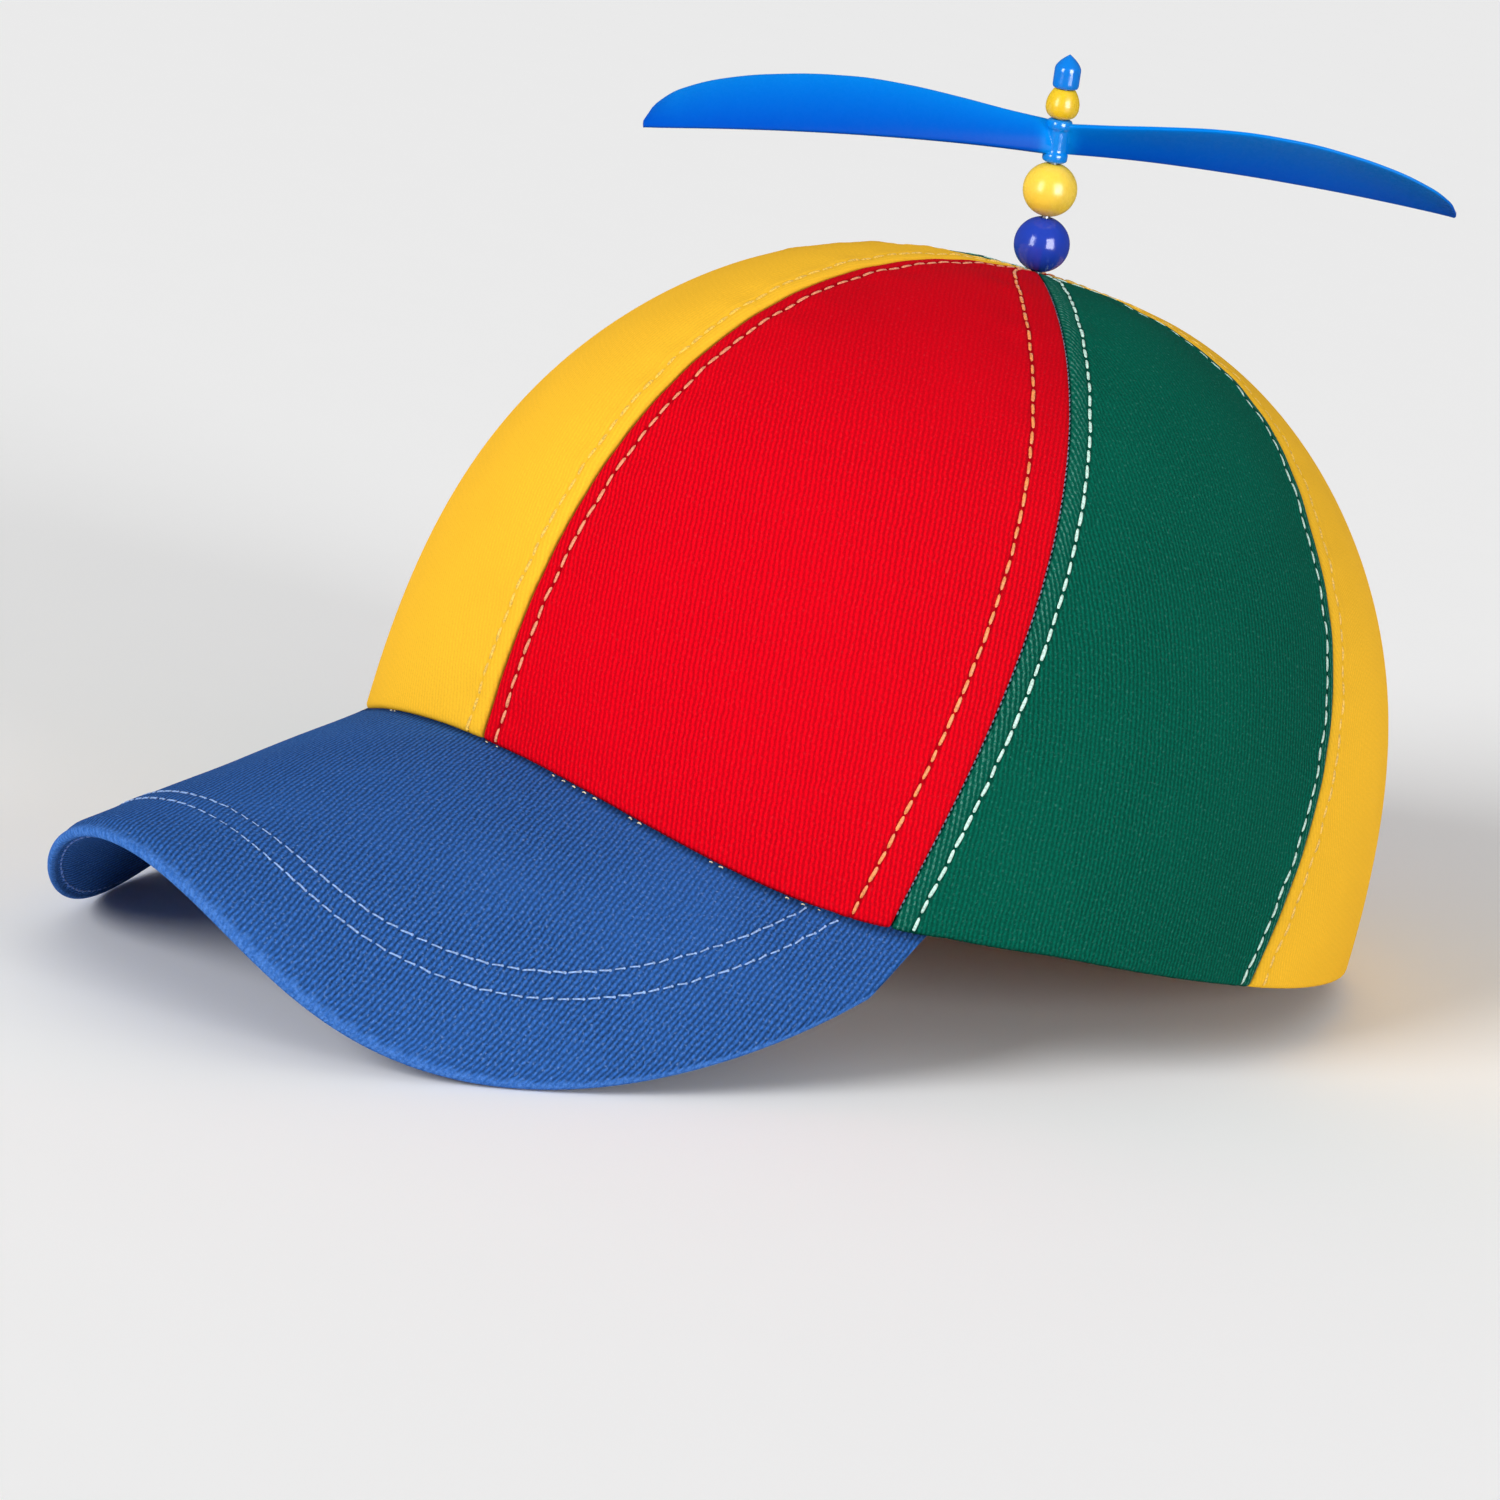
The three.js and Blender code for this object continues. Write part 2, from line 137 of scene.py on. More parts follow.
def to_rest(points):
    """Moves points in millimetres from the crown's upright frame to metres as the cap rests."""
    points = np.asarray(points, float)
    cos, sin = math.cos(REST_PITCH), math.sin(REST_PITCH)
    x, y, z = points[..., 0], points[..., 1], points[..., 2]
    turned = np.stack([x, cos * y + sin * z, cos * z - sin * y], -1)
    return (turned + REST_PLACE) / 1000


def from_stack(points):
    """Moves points from the spindle's own frame to metres as the cap rests."""
    points = np.asarray(points, float)
    cos, sin = math.cos(SPINDLE_LEAN), math.sin(SPINDLE_LEAN)
    x, y, z = points[..., 0], points[..., 1], points[..., 2]
    leaned = np.stack([x, cos * y - sin * z - TOP_FORWARD, sin * y + cos * z + CROWN_HEIGHT], -1)
    return to_rest(leaned)


def rim_at(angle, depth=0):
    reach = np.where(np.cos(angle) > 0, RIM_FRONT, RIM_BACK) - depth
    return (RIM_SIDE - depth) * np.sin(angle), -reach * np.cos(angle)


def arch_radius(down):
    return np.maximum(lerp(ARCH_AT_CROWN, ARCH_AT_EDGE, down / VISOR_LENGTH), ARCH_LEAST)


def visor_point(across, down, depth=0):
    """A point of the visor from its place on the flat sheet and its depth below the top."""
    radius = arch_radius(down)
    turn = across / radius
    drop = radius * (1 - np.cos(turn)) + depth * np.cos(turn)
    cos, sin = math.cos(VISOR_SLOPE), math.sin(VISOR_SLOPE)
    y = -RIM_FRONT - cos * down + sin * drop
    z = VISOR_RISE - sin * down - cos * drop
    return np.stack([(radius - depth) * np.sin(turn), y, z], -1)


def visor_below(x, y):
    """The place on the flat sheet, and the height, of the visor's top at a point of the plan."""
    down = -(y + RIM_FRONT)
    radius = arch_radius(down)
    for _ in range(SETTLING_ROUNDS):
        radius = arch_radius(down)
        drop = radius - np.sqrt(np.maximum(radius**2 - x**2, 0))
        wanted = (math.sin(VISOR_SLOPE) * drop - (y + RIM_FRONT)) / math.cos(VISOR_SLOPE)
        down = (down + wanted) / 2
    across = radius * np.arcsin(np.clip(x / radius, -1, 1))
    return across, down, visor_point(across, down)[..., 2]


def rim_height(angle, depth, gap):
    turn = np.abs(angle)
    x, y = rim_at(np.minimum(turn, VISOR_REACH), depth)
    on_visor = visor_below(x, y)[2] + gap
    leaving = smoothstep(VISOR_REACH, VISOR_REACH * RIM_LEAVING, turn)
    floor = RIM_SETTLE - (RIM_BACK - rim_at(angle, depth)[1]) * math.tan(REST_PITCH)
    return np.maximum(on_visor * (1 - leaving), np.where(turn > VISOR_REACH, floor, -np.inf))


def crown_point(angle, rise, depth=0, gap=0.05):
    """A point of the crown's wall, from the rim at 0 to the top at 1."""
    climb = rise * math.pi / 2
    reach = np.cos(climb) ** (2 / PLAN_FULLNESS)
    lift = np.sin(climb) ** (2 / TOP_FULLNESS)
    x, y = rim_at(angle, depth)
    z = rim_height(angle, depth, gap) * (1 - lift) + (CROWN_HEIGHT - depth) * lift
    return np.stack([x * reach, y * reach - TOP_FORWARD * lift, z], -1)


def seam_angle(seam, rise):
    rim, bow, swing = SEAMS[seam]
    return np.radians(rim + bow * 4 * rise * (1 - rise) + swing * smoothstep(SWING_START, 1, rise))


def visor_edge(along):
    """The visor's outer edge on the flat sheet, from -1 at the wearer's right end to 1 at the left."""
    turn = along * math.pi / 2
    end_x, end_y = rim_at(VISOR_REACH)
    root_across, root_down, _ = visor_below(end_x, end_y)
    forward = np.maximum(np.cos(turn), 0) ** (2 / EDGE_FRONT_ROUND)
    sine = np.sin(turn)
    wide = VISOR_HALF_WIDTH * np.sign(sine) * np.abs(sine) ** (2 / EDGE_SIDE_ROUND)
    tuck = np.sign(along) * (root_across - VISOR_HALF_WIDTH) * (1 - forward) ** VISOR_TUCK
    return np.stack([wide + tuck, lerp(root_down, VISOR_LENGTH, forward)], -1)


def lengths_along(points):
    """Distance from the first point to each point of a line."""
    steps = np.linalg.norm(np.diff(points, axis=0), axis=1)
    return np.concatenate([[0], np.cumsum(steps)])


def grid_normals(points, outward):
    """Unit normals of a grid of points, on the side that outward points to."""
    normals = np.cross(np.gradient(points, axis=1), np.gradient(points, axis=0))
    normals /= np.maximum(np.linalg.norm(normals, axis=-1, keepdims=True), 1e-12)
    facing = np.sum(normals * outward, axis=-1).mean()
    return normals * np.sign(facing)


def smooth_curve(wanted, places, values):
    """Values between given ones on a smooth curve that never overshoots them."""
    places, values = np.asarray(places, float), np.asarray(values, float)
    pace = np.diff(values) / np.diff(places)
    slope = np.zeros_like(values)
    slope[0], slope[-1] = pace[0], pace[-1]
    same = pace[:-1] * pace[1:] > 0
    slope[1:-1][same] = 2 * pace[:-1][same] * pace[1:][same] / (pace[:-1] + pace[1:])[same]
    index = np.clip(np.searchsorted(places, wanted) - 1, 0, len(pace) - 1)
    width = (places[1:] - places[:-1])[index]
    share = (wanted - places[index]) / width
    near = (1 + 2 * share) * (1 - share) ** 2 * values[index]
    far = share**2 * (3 - 2 * share) * values[index + 1]
    leaving = share * (1 - share) ** 2 * width * slope[index]
    arriving = share**2 * (share - 1) * width * slope[index + 1]
    return near + far + leaving + arriving


# Meshes


def new_object(name, points, faces, edges=()):
    mesh = bpy.data.meshes.new(name)
    mesh.from_pydata(np.asarray(points).tolist(), list(edges), faces)
    mesh.update()
    piece = bpy.data.objects.new(name, mesh)
    bpy.context.scene.collection.objects.link(piece)
    return piece


def finish_mesh(piece, material, crease=50):
    piece.data.materials.clear()
    piece.data.materials.append(material)
    piece.data.shade_smooth()
    piece.data.set_sharp_from_angle(angle=math.radians(crease))
    return piece


def add_cloth_map(piece, flat):
    """Lays the cloth's own flat coordinates, in decimetres, over the piece as its UV map."""
    mesh = piece.data
    corner = np.empty(len(mesh.loops), np.int32)
    mesh.loops.foreach_get("vertex_index", corner)
    layer = mesh.uv_layers.new(name="cloth")
    layer.data.foreach_set("uv", (flat[corner] / 100).ravel().astype(np.float32))


def add_layer(piece, name, values):
    layer = piece.data.attributes.new(name, "FLOAT", "POINT")
    layer.data.foreach_set("value", np.asarray(values, np.float32).ravel())


def outward_faces(points, faces):
    """The faces turned so that a closed body of them has its volume inside."""
    volume = 0.0
    for a, b, c, d in faces:
        volume += np.dot(points[a], np.cross(points[b], points[c]))
        volume += np.dot(points[a], np.cross(points[c], points[d]))
    return [tuple(reversed(face)) for face in faces] if volume < 0 else faces


def shell_faces(rows, columns):
    """Faces of a closed body between two like grids, the second one numbered after the first."""
    face = np.arange(rows * columns).reshape(rows, columns)
    back = face + rows * columns
    quads = [
        np.stack([face[:-1, :-1], face[1:, :-1], face[1:, 1:], face[:-1, 1:]], -1),
        np.stack([back[:-1, :-1], back[:-1, 1:], back[1:, 1:], back[1:, :-1]], -1),
        np.stack([face[:-1, 0], back[:-1, 0], back[1:, 0], face[1:, 0]], -1),
        np.stack([face[:-1, -1], face[1:, -1], back[1:, -1], back[:-1, -1]], -1),
        np.stack([face[0, :-1], face[0, 1:], back[0, 1:], back[0, :-1]], -1),
        np.stack([face[-1, :-1], back[-1, :-1], back[-1, 1:], face[-1, 1:]], -1),
    ]
    return [tuple(quad) for group in quads for quad in group.reshape(-1, 4).tolist()]


def turned_body(profile, sides=64):
    """A closed body turned round the spindle's axis. The profile closes on itself or on the axis."""
    profile = np.asarray(profile, float)
    angles = np.linspace(0, 2 * math.pi, sides, endpoint=False)
    points, rings = [], []
    for radius, height in profile:
        if radius < 1e-6:
            rings.append([len(points)] * sides)
            points.append((0, 0, height))
        else:
            rings.append(range(len(points), len(points) + sides))
            points.extend((radius * math.cos(a), radius * math.sin(a), height) for a in angles)
    on_axis = profile[0, 0] < 1e-6 and profile[-1, 0] < 1e-6
    pairs = list(zip(rings[:-1], rings[1:]))
    if not on_axis:
        pairs.append((rings[-1], rings[0]))
    faces = []
    for low, high in pairs:
        for side in range(sides):
            after = (side + 1) % sides
            corners = (low[side], low[after], high[after], high[side])
            faces.append(tuple(dict.fromkeys(corners)))
    return points, faces


def recalculated(piece):
    """Turns the piece's faces outward, whichever way its profile was drawn."""
    work = bmesh.new()
    work.from_mesh(piece.data)
    bmesh.ops.recalc_face_normals(work, faces=work.faces)
    work.to_mesh(piece.data)
    work.free()
    return piece


def keep(piece, body, nodes):
    """Puts a finished piece on its body and hides what it stands for."""
    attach(piece, body)
    if nodes:
        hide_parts(*nodes)


# Materials


def linear(colour):
    """A given colour, as shaders count it."""
    return tuple(c / 12.92 if c <= 0.04045 else ((c + 0.055) / 1.055) ** 2.4 for c in colour[:3]) + (1,)


def shade(colour, share):
    """A darker colour for a share under 1, or one nearer white for a share over 1."""
    if share <= 1:
        return tuple(c * share for c in colour[:3])
    return tuple(c + (1 - c) * (share - 1) for c in colour[:3])


class Nodes:
    """A material's node tree, with a short way to add each kind of node that the cap needs."""

    def __init__(self, name):
        self.material = bpy.data.materials.new(name)
        self.material.use_nodes = True
        self.tree = self.material.node_tree
        self.tree.nodes.clear()
        self.shader = self.tree.nodes.new("ShaderNodeBsdfPrincipled")
        output = self.tree.nodes.new("ShaderNodeOutputMaterial")
        self.tree.links.new(self.shader.outputs["BSDF"], output.inputs["Surface"])

    def feed(self, value, socket):
        if isinstance(value, bpy.types.NodeSocket):
            self.tree.links.new(value, socket)
        else:
            socket.default_value = value

    def math(self, operation, first, second=0.0, third=0.0):
        node = self.tree.nodes.new("ShaderNodeMath")
        node.operation = operation
        for socket, value in zip(node.inputs, (first, second, third)):
            self.feed(value, socket)
        return node.outputs[0]

    def flat_place(self):
        """Millimetres across and along the cloth."""
        place = self.tree.nodes.new("ShaderNodeUVMap")
        place.uv_map = "cloth"
        scale = self.tree.nodes.new("ShaderNodeVectorMath")
        scale.operation = "SCALE"
        scale.inputs["Scale"].default_value = 100
        self.tree.links.new(place.outputs["UV"], scale.inputs[0])
        parts = self.tree.nodes.new("ShaderNodeSeparateXYZ")
        self.tree.links.new(scale.outputs[0], parts.inputs[0])
        return scale.outputs[0], parts.outputs["X"], parts.outputs["Y"]

    def object_place(self):
        return self.tree.nodes.new("ShaderNodeTexCoord").outputs["Object"]

    def noise(self, place, scale, detail=2.0, roughness=0.5):
        node = self.tree.nodes.new("ShaderNodeTexNoise")
        self.tree.links.new(place, node.inputs["Vector"])
        node.inputs["Scale"].default_value = scale
        node.inputs["Detail"].default_value = detail
        node.inputs["Roughness"].default_value = roughness
        return node.outputs["Fac"]

    def span(self, value, low, high, to_low=0.0, to_high=1.0):
        node = self.tree.nodes.new("ShaderNodeMapRange")
        node.interpolation_type = "SMOOTHSTEP"
        for socket, number in zip(node.inputs, (value, low, high, to_low, to_high)):
            self.feed(number, socket)
        return node.outputs[0]

    def layer(self, name):
        node = self.tree.nodes.new("ShaderNodeAttribute")
        node.attribute_name = name
        return node.outputs["Fac"]

    def mix(self, factor, first, second, blend="MIX"):
        node = self.tree.nodes.new("ShaderNodeMix")
        node.data_type = "RGBA"
        node.blend_type = blend
        self.feed(factor, node.inputs[0])
        self.feed(first, node.inputs[6])
        self.feed(second, node.inputs[7])
        return node.outputs[2]

    def bump(self, height, distance, strength=1.0):
        node = self.tree.nodes.new("ShaderNodeBump")
        node.inputs["Distance"].default_value = distance
        node.inputs["Strength"].default_value = strength
        self.tree.links.new(height, node.inputs["Height"])
        self.tree.links.new(node.outputs["Normal"], self.shader.inputs["Normal"])

    def colour(self, value):
        self.feed(value, self.shader.inputs["Base Color"])

    def set(self, **numbers):
        for name, number in numbers.items():
            self.shader.inputs[name.replace("_", " ")].default_value = number


# How far each rib's floats step on, where up the panel the ribs fade, and how pale worn and frayed cloth is
FLOAT_STAGGER = 0.38
RIBS_FADE = (60, 115)
WORN_SHADE = 0.86
FLECK_SHADE = 1.35
FRAYED_SHADE = 1.5


def twill(name, colour, cloth, weave_facts):
    """Cotton twill: slanting ribs of short floats, with fuzz and flecks, painted shadow along the seams and
    rows of stitches, and painted shade high on the crown.
    """
    pitch, lean, contrast, grain, relief, flecks, fray, ribs_at_top, shade_at_top, row_shade = weave_facts
    nodes = Nodes(name)
    place, u, v = nodes.flat_place()
    cos, sin = math.cos(lean), math.sin(lean)
    wander = nodes.math("MULTIPLY", nodes.noise(place, 0.7, 2), cloth.rib_jitter)
    sway = nodes.math("MULTIPLY_ADD", nodes.noise(place, 0.09, 3), cloth.rib_sway, wander)
    over = nodes.math("MULTIPLY_ADD", u, cos / pitch, nodes.math("MULTIPLY_ADD", v, sin / pitch, sway))
    upward = nodes.math("MULTIPLY", v, cos / cloth.float_length)
    turned = nodes.math("MULTIPLY_ADD", u, -sin / cloth.float_length, upward)
    stagger = nodes.math("MULTIPLY_ADD", nodes.math("FLOOR", over), FLOAT_STAGGER, turned)
    rib, floats = (
        nodes.math("MULTIPLY_ADD", nodes.math("SINE", nodes.math("MULTIPLY", wave, 2 * math.pi)), 0.5, 0.5)
        for wave in (over, stagger)
    )
    fuzz = nodes.span(nodes.noise(place, 2.6, 4, 0.75), 0.25, 0.75)
    broken = nodes.math("MULTIPLY_ADD", floats, cloth.float_share, 1 - cloth.float_share)
    weave = nodes.math("MULTIPLY", rib, broken)
    clear = nodes.span(v, *RIBS_FADE, 1.0, ribs_at_top)
    height = nodes.math("MULTIPLY", nodes.math("MULTIPLY_ADD", fuzz, 0.4, weave), clear)
    # Painted shade: high on the crown the ribs fade into an even darkness, set for each cloth, that stands
    # for the shade there
    ribbed = nodes.math("MULTIPLY_ADD", weave, -contrast, contrast - shade_at_top)
    deep = nodes.math("MULTIPLY_ADD", ribbed, clear, shade_at_top)
    dark = nodes.math("MULTIPLY_ADD", fuzz, grain, deep)
    wear = nodes.span(nodes.noise(place, 0.03, 3), 0.35, 0.7)
    thread = nodes.mix(dark, linear(colour), linear(shade(colour, cloth.groove_shade)))
    worn = nodes.mix(nodes.math("MULTIPLY", wear, cloth.mottle), thread, linear(shade(colour, WORN_SHADE)))
    fleck = nodes.math("MULTIPLY", nodes.span(nodes.noise(place, 1.7, 3), 0.55, 0.8), flecks)
    flecked = nodes.mix(fleck, worn, linear(shade(colour, FLECK_SHADE)))
    seam = nodes.layer("seam")
    if fray:
        raised = nodes.math("MULTIPLY", nodes.span(seam, 0.1, 0.5), nodes.span(seam, 1.2, 3.1, 1.0, 0.25))
        fold = nodes.math("MULTIPLY", raised, nodes.span(seam, 3.1, 3.6, 1.0, 0.0))
        ragged = nodes.math("MULTIPLY", nodes.span(weave, 0.35, 0.9), nodes.span(fuzz, 0.3, 0.7))
        frayed = nodes.math("MULTIPLY", nodes.math("MULTIPLY", ragged, fold), fray)
        flecked = nodes.mix(frayed, flecked, linear(shade(colour, FRAYED_SHADE)))
    # Painted shade beside each row of stitches and just above the rim, and, below, at the bottom of each
    # seam; on the visor, along its rows and under the crown's rim
    row_shadow = nodes.span(nodes.layer("row"), 0.3, 0.85, row_shade, 1.0)
    seam_and_row_shade = nodes.math("MULTIPLY", nodes.span(seam, 0.0, 0.35, cloth.seam_shade, 1.0), row_shadow)
    # The painted shade is multiplied into the cloth's colour
    tint = nodes.tree.nodes.new("ShaderNodeCombineColor")
    for socket in tint.inputs:
        nodes.feed(seam_and_row_shade, socket)
    shadowed = nodes.mix(1.0, flecked, tint.outputs[0], "MULTIPLY")
    speckle = nodes.span(nodes.noise(nodes.object_place(), 1500, 3, 0.8), 0.38, 0.62)
    bright = nodes.mix(speckle, linear(shade(colour, 0.86)), linear(shade(colour, 1.12)))
    nodes.colour(nodes.mix(nodes.math("MULTIPLY", nodes.layer("band"), cloth.band_tint), shadowed, bright))
    nodes.bump(height, cloth.rib_relief, cloth.rib_strength * relief)
    nodes.set(Roughness=0.88, Sheen_Weight=cloth.sheen, Sheen_Roughness=0.4)
    nodes.set(Specular_IOR_Level=0.03, Sheen_Tint=linear(colour))
    return nodes.material


def sewing_thread(name, colour):
    """Twisted polyester thread."""
    nodes = Nodes(name)
    place = nodes.object_place()
    ply = nodes.noise(place, 2600, 2)
    nodes.colour(nodes.mix(nodes.span(ply, 0.35, 0.65), linear(shade(colour, 0.8)), linear(colour)))
    nodes.bump(ply, 0.00012, 0.6)
    nodes.set(Roughness=0.55, Sheen_Weight=0.3, Sheen_Roughness=0.4)
    return nodes.material


CLOUDY = 0.04
SCUFFED = 0.08


def moulded_plastic(name, colour, deep, roughness, glow, gloss):
    """Glossy moulded plastic with a faint ripple, whose colour deepens as its depth layer says; on the
    blades that layer is painted shade.
    """
    nodes = Nodes(name)
    place = nodes.object_place()
    cloudy = nodes.span(nodes.noise(place, 90, 3), 0.3, 0.7, 0.0, CLOUDY)
    # On the blades the depth layer is painted shade
    plain = nodes.mix(nodes.layer("depth"), linear(colour), linear(deep))
    nodes.colour(nodes.mix(cloudy, plain, linear(shade(colour, 0.8))))
    nodes.bump(nodes.noise(place, 200, 2), 0.00004, 0.25)
    scuffs = nodes.span(nodes.noise(place, 700, 4, 0.7), 0.3, 0.75, roughness, roughness + SCUFFED)
    nodes.feed(scuffs, nodes.shader.inputs["Roughness"])
    nodes.set(Subsurface_Weight=glow, Subsurface_Radius=(0.002, 0.002, 0.002), Subsurface_Scale=1.0)
    nodes.set(Specular_IOR_Level=gloss)
    return nodes.material


def drawn_steel(name):
    """Plain drawn wire with fine lines along it."""
    nodes = Nodes(name)
    lines = nodes.noise(nodes.object_place(), 1800, 3)
    nodes.colour(nodes.mix(lines, linear((0.55, 0.57, 0.6)), linear((0.78, 0.8, 0.83))))
    nodes.bump(lines, 0.00003, 0.5)
    nodes.set(Metallic=1.0, Roughness=0.32)
    return nodes.material


def studio_paper(name, colour):
    nodes = Nodes(name)
    grain = nodes.noise(nodes.object_place(), 40, 3)
    nodes.colour(nodes.mix(grain, linear(shade(colour, 0.995)), linear(colour)))
    nodes.set(Roughness=0.9, Specular_IOR_Level=0.1)
    return nodes.material


# What a user would change


def length(name, description, default):
    facts = {"unit": "LENGTH", "subtype": "DISTANCE", "precision": 5}
    return FloatProperty(name=name, description=description, default=default, **facts)


def number(name, description, default, least):
    return FloatProperty(name=name, description=description, default=default, min=least)


def share(name, description, default):
    return FloatProperty(name=name, description=description, default=default, min=0, max=4, subtype="FACTOR")


def angle(name, description, default):
    facts = {"unit": "ROTATION", "subtype": "ANGLE"}
    return FloatProperty(name=name, description=description, default=math.radians(default), **facts)


def colour(name, description, default):
    facts = {"size": 3, "min": 0, "max": 1, "subtype": "COLOR_GAMMA"}
    return FloatVectorProperty(name=name, description=description, default=default, **facts)


class CapCloth(bpy.types.PropertyGroup):
    thickness: length("Cloth thickness", "Thickness of the crown's cloth", 0.0016)
    visor_thickness: length("Visor thickness", "Thickness of the covered visor", 0.0032)
    visor_edge: length("Visor edge", "Thickness of the visor at its rolled edge", 0.0018)
    seam_sink: length("Seam depth", "How deep the folded edges of two panels dip where they meet", 0.0006)
    fold_width: length("Fold width", "How wide the rounded fold beside a seam is", 0.0008)
    allowance_rise: length("Allowance rise", "How much the seam allowance under the cloth lifts it", 0.00028)
    stitch_sink: length("Stitch depth", "How deep a row of stitches pulls the cloth in", 0.00024)
    belly: length("Panel fullness", "How far the middle of a panel stands out", 0.0005)
    pucker: length("Pucker", "How far the cloth ripples beside a seam", 0.00012)
    wave: length("Wave", "How far the panels undulate", 0.0003)
    rib_pitch: length("Rib pitch", "Distance between the ribs of the crown's twill", 0.00086)
    visor_rib_pitch: length("Visor rib pitch", "Distance between the ribs of the visor's twill", 0.00091)
    rib_lean: angle("Rib lean", "How far the ribs lean from the length of a panel", 16)
    visor_rib_lean: angle("Visor rib lean", "How far the ribs lean from the length of the visor", -24)
    float_length: number("Float length", "Length of a float of the weave, in millimetres", 1.3, 0.1)
    rib_sway: share("Rib sway", "How far the ribs wander over a panel, in ribs", 1.1)
    rib_jitter: share("Rib jitter", "How uneven each rib is, in ribs", 0.6)
    rib_relief: length("Rib relief", "Height of the ribs", 0.00022)
    rib_strength: share("Rib strength", "How strongly the ribs catch the light", 0.6)
    float_share: share("Float share", "How much each rib is broken into floats", 0.4)
    groove_shade: share("Groove shade", "How dark the cloth is between the ribs", 0.35)
    # Painted shade at the bottom of each seam
    seam_shade: share("Seam shade", "How dark the cloth is at the bottom of a seam", 0.4)
    band_tint: share("Band tint", "How much paler the visor's rolled edge is", 0.7)
    mottle: share("Mottle", "How much the dye varies over the cloth", 0.25)
    sheen: share("Sheen", "How much the fibres on the cloth shine", 0.05)


class CapColours(bpy.types.PropertyGroup):
    red: colour("Red twill", "Front left and back right panels", (1.0, 0.0, 0.1))
    green: colour("Green twill", "Side panels", (0.0, 0.44, 0.35))
    yellow: colour("Yellow twill", "Front right and back left panels", (1.0, 0.765, 0.19))
    blue: colour("Blue twill", "Visor", (0.23, 0.47, 0.83))
    salmon_thread: colour("Salmon thread", "Stitches beside the front seam", (0.98, 0.6, 0.42))
    orange_thread: colour("Orange thread", "Stitches beside the other red edges", (1.0, 0.6, 0.3))
    mint_thread: colour("Mint thread", "Stitches on the green panels", (0.8, 0.95, 0.89))
    yellow_thread: colour("Yellow thread", "Stitches on the yellow panels", (1.0, 0.8, 0.27))
    blue_thread: colour("Pale blue thread", "Stitches on the visor", (0.58, 0.73, 0.95))
    below_thread: colour("Blue thread", "Stitches under the visor's edge", (0.36, 0.56, 0.92))
    cream_thread: colour("Cream thread", "Stitches that show between crown and visor", (0.9, 0.84, 0.7))
    grey_thread: colour("Grey thread", "Thread that shows in the green panels' seams", (0.42, 0.5, 0.6))
    deep_blue: colour("Deep blue bead", "Lower bead", (0.13, 0.25, 0.7))
    yellow_bead: colour("Upper bead", "Yellow of the upper bead", (0.97, 0.82, 0.28))
    small_bead: colour("Small bead", "Deeper yellow of the small bead", (0.9, 0.75, 0.13))
    # Plastic blue is the blades' lit upper edges, and the blade shade blue is the painted shade towards
    # their lower edges; the finial takes a quarter of it
    plastic_blue: colour("Blue plastic", "Hub, finial and upper edges of the blades", (0.0, 0.52, 0.89))
    blade_edge: colour("Blade edge", "Deeper blue of the lower edges of the blades", (0.0, 0.29, 0.73))


class CapStitches(bpy.types.PropertyGroup):
    dash: length("Stitch length", "Length of one stitch of the crown's seams", 0.0024)
    gap: length("Stitch gap", "Gap between two stitches", 0.0008)
    width: length("Thread width", "Width of a stitch", 0.0007)
    height: length("Thread height", "How thick a stitch is", 0.0005)
    visor_dash: length("Visor stitch length", "Length of one stitch of the visor", 0.002)
    visor_gap: length("Visor stitch gap", "Gap between two stitches of the visor", 0.0007)
    visor_width: length("Visor thread width", "Width of a stitch of the visor", 0.00032)
    knot: length("Knot size", "Size of the knot where a visor stitch enters the cloth", 0.00055)
    seam_dash: length("Seam stitch length", "Length of a stitch that shows between two panels", 0.0006)
    seam_gap: length("Seam stitch gap", "Gap between the stitches that show between two panels", 0.0005)
    seam_width: length("Seam thread width", "Width of a stitch that shows between two panels", 0.0004)
    tack_dash: length("Tack length", "Length of a stitch that shows between crown and visor", 0.0006)
    tack_gap: length("Tack gap", "Least gap between the stitches that show there", 0.0016)
    tack_width: length("Tack width", "Width of a stitch that shows there", 0.00026)
    outer_row: length("Outer row", "Distance of the visor's outer row from its edge", 0.0143)
    row_gap: length("Row gap", "Distance between the visor's two rows", 0.0046)
    under_row: length("Row below", "Distance from the edge of the row on the visor's underside", 0.0021)
    sway: angle("Stitch sway", "How far a stitch turns from its row", 4)
    seed: IntProperty(name="Seed", description="Seed of the stitches' unevenness", default=7)


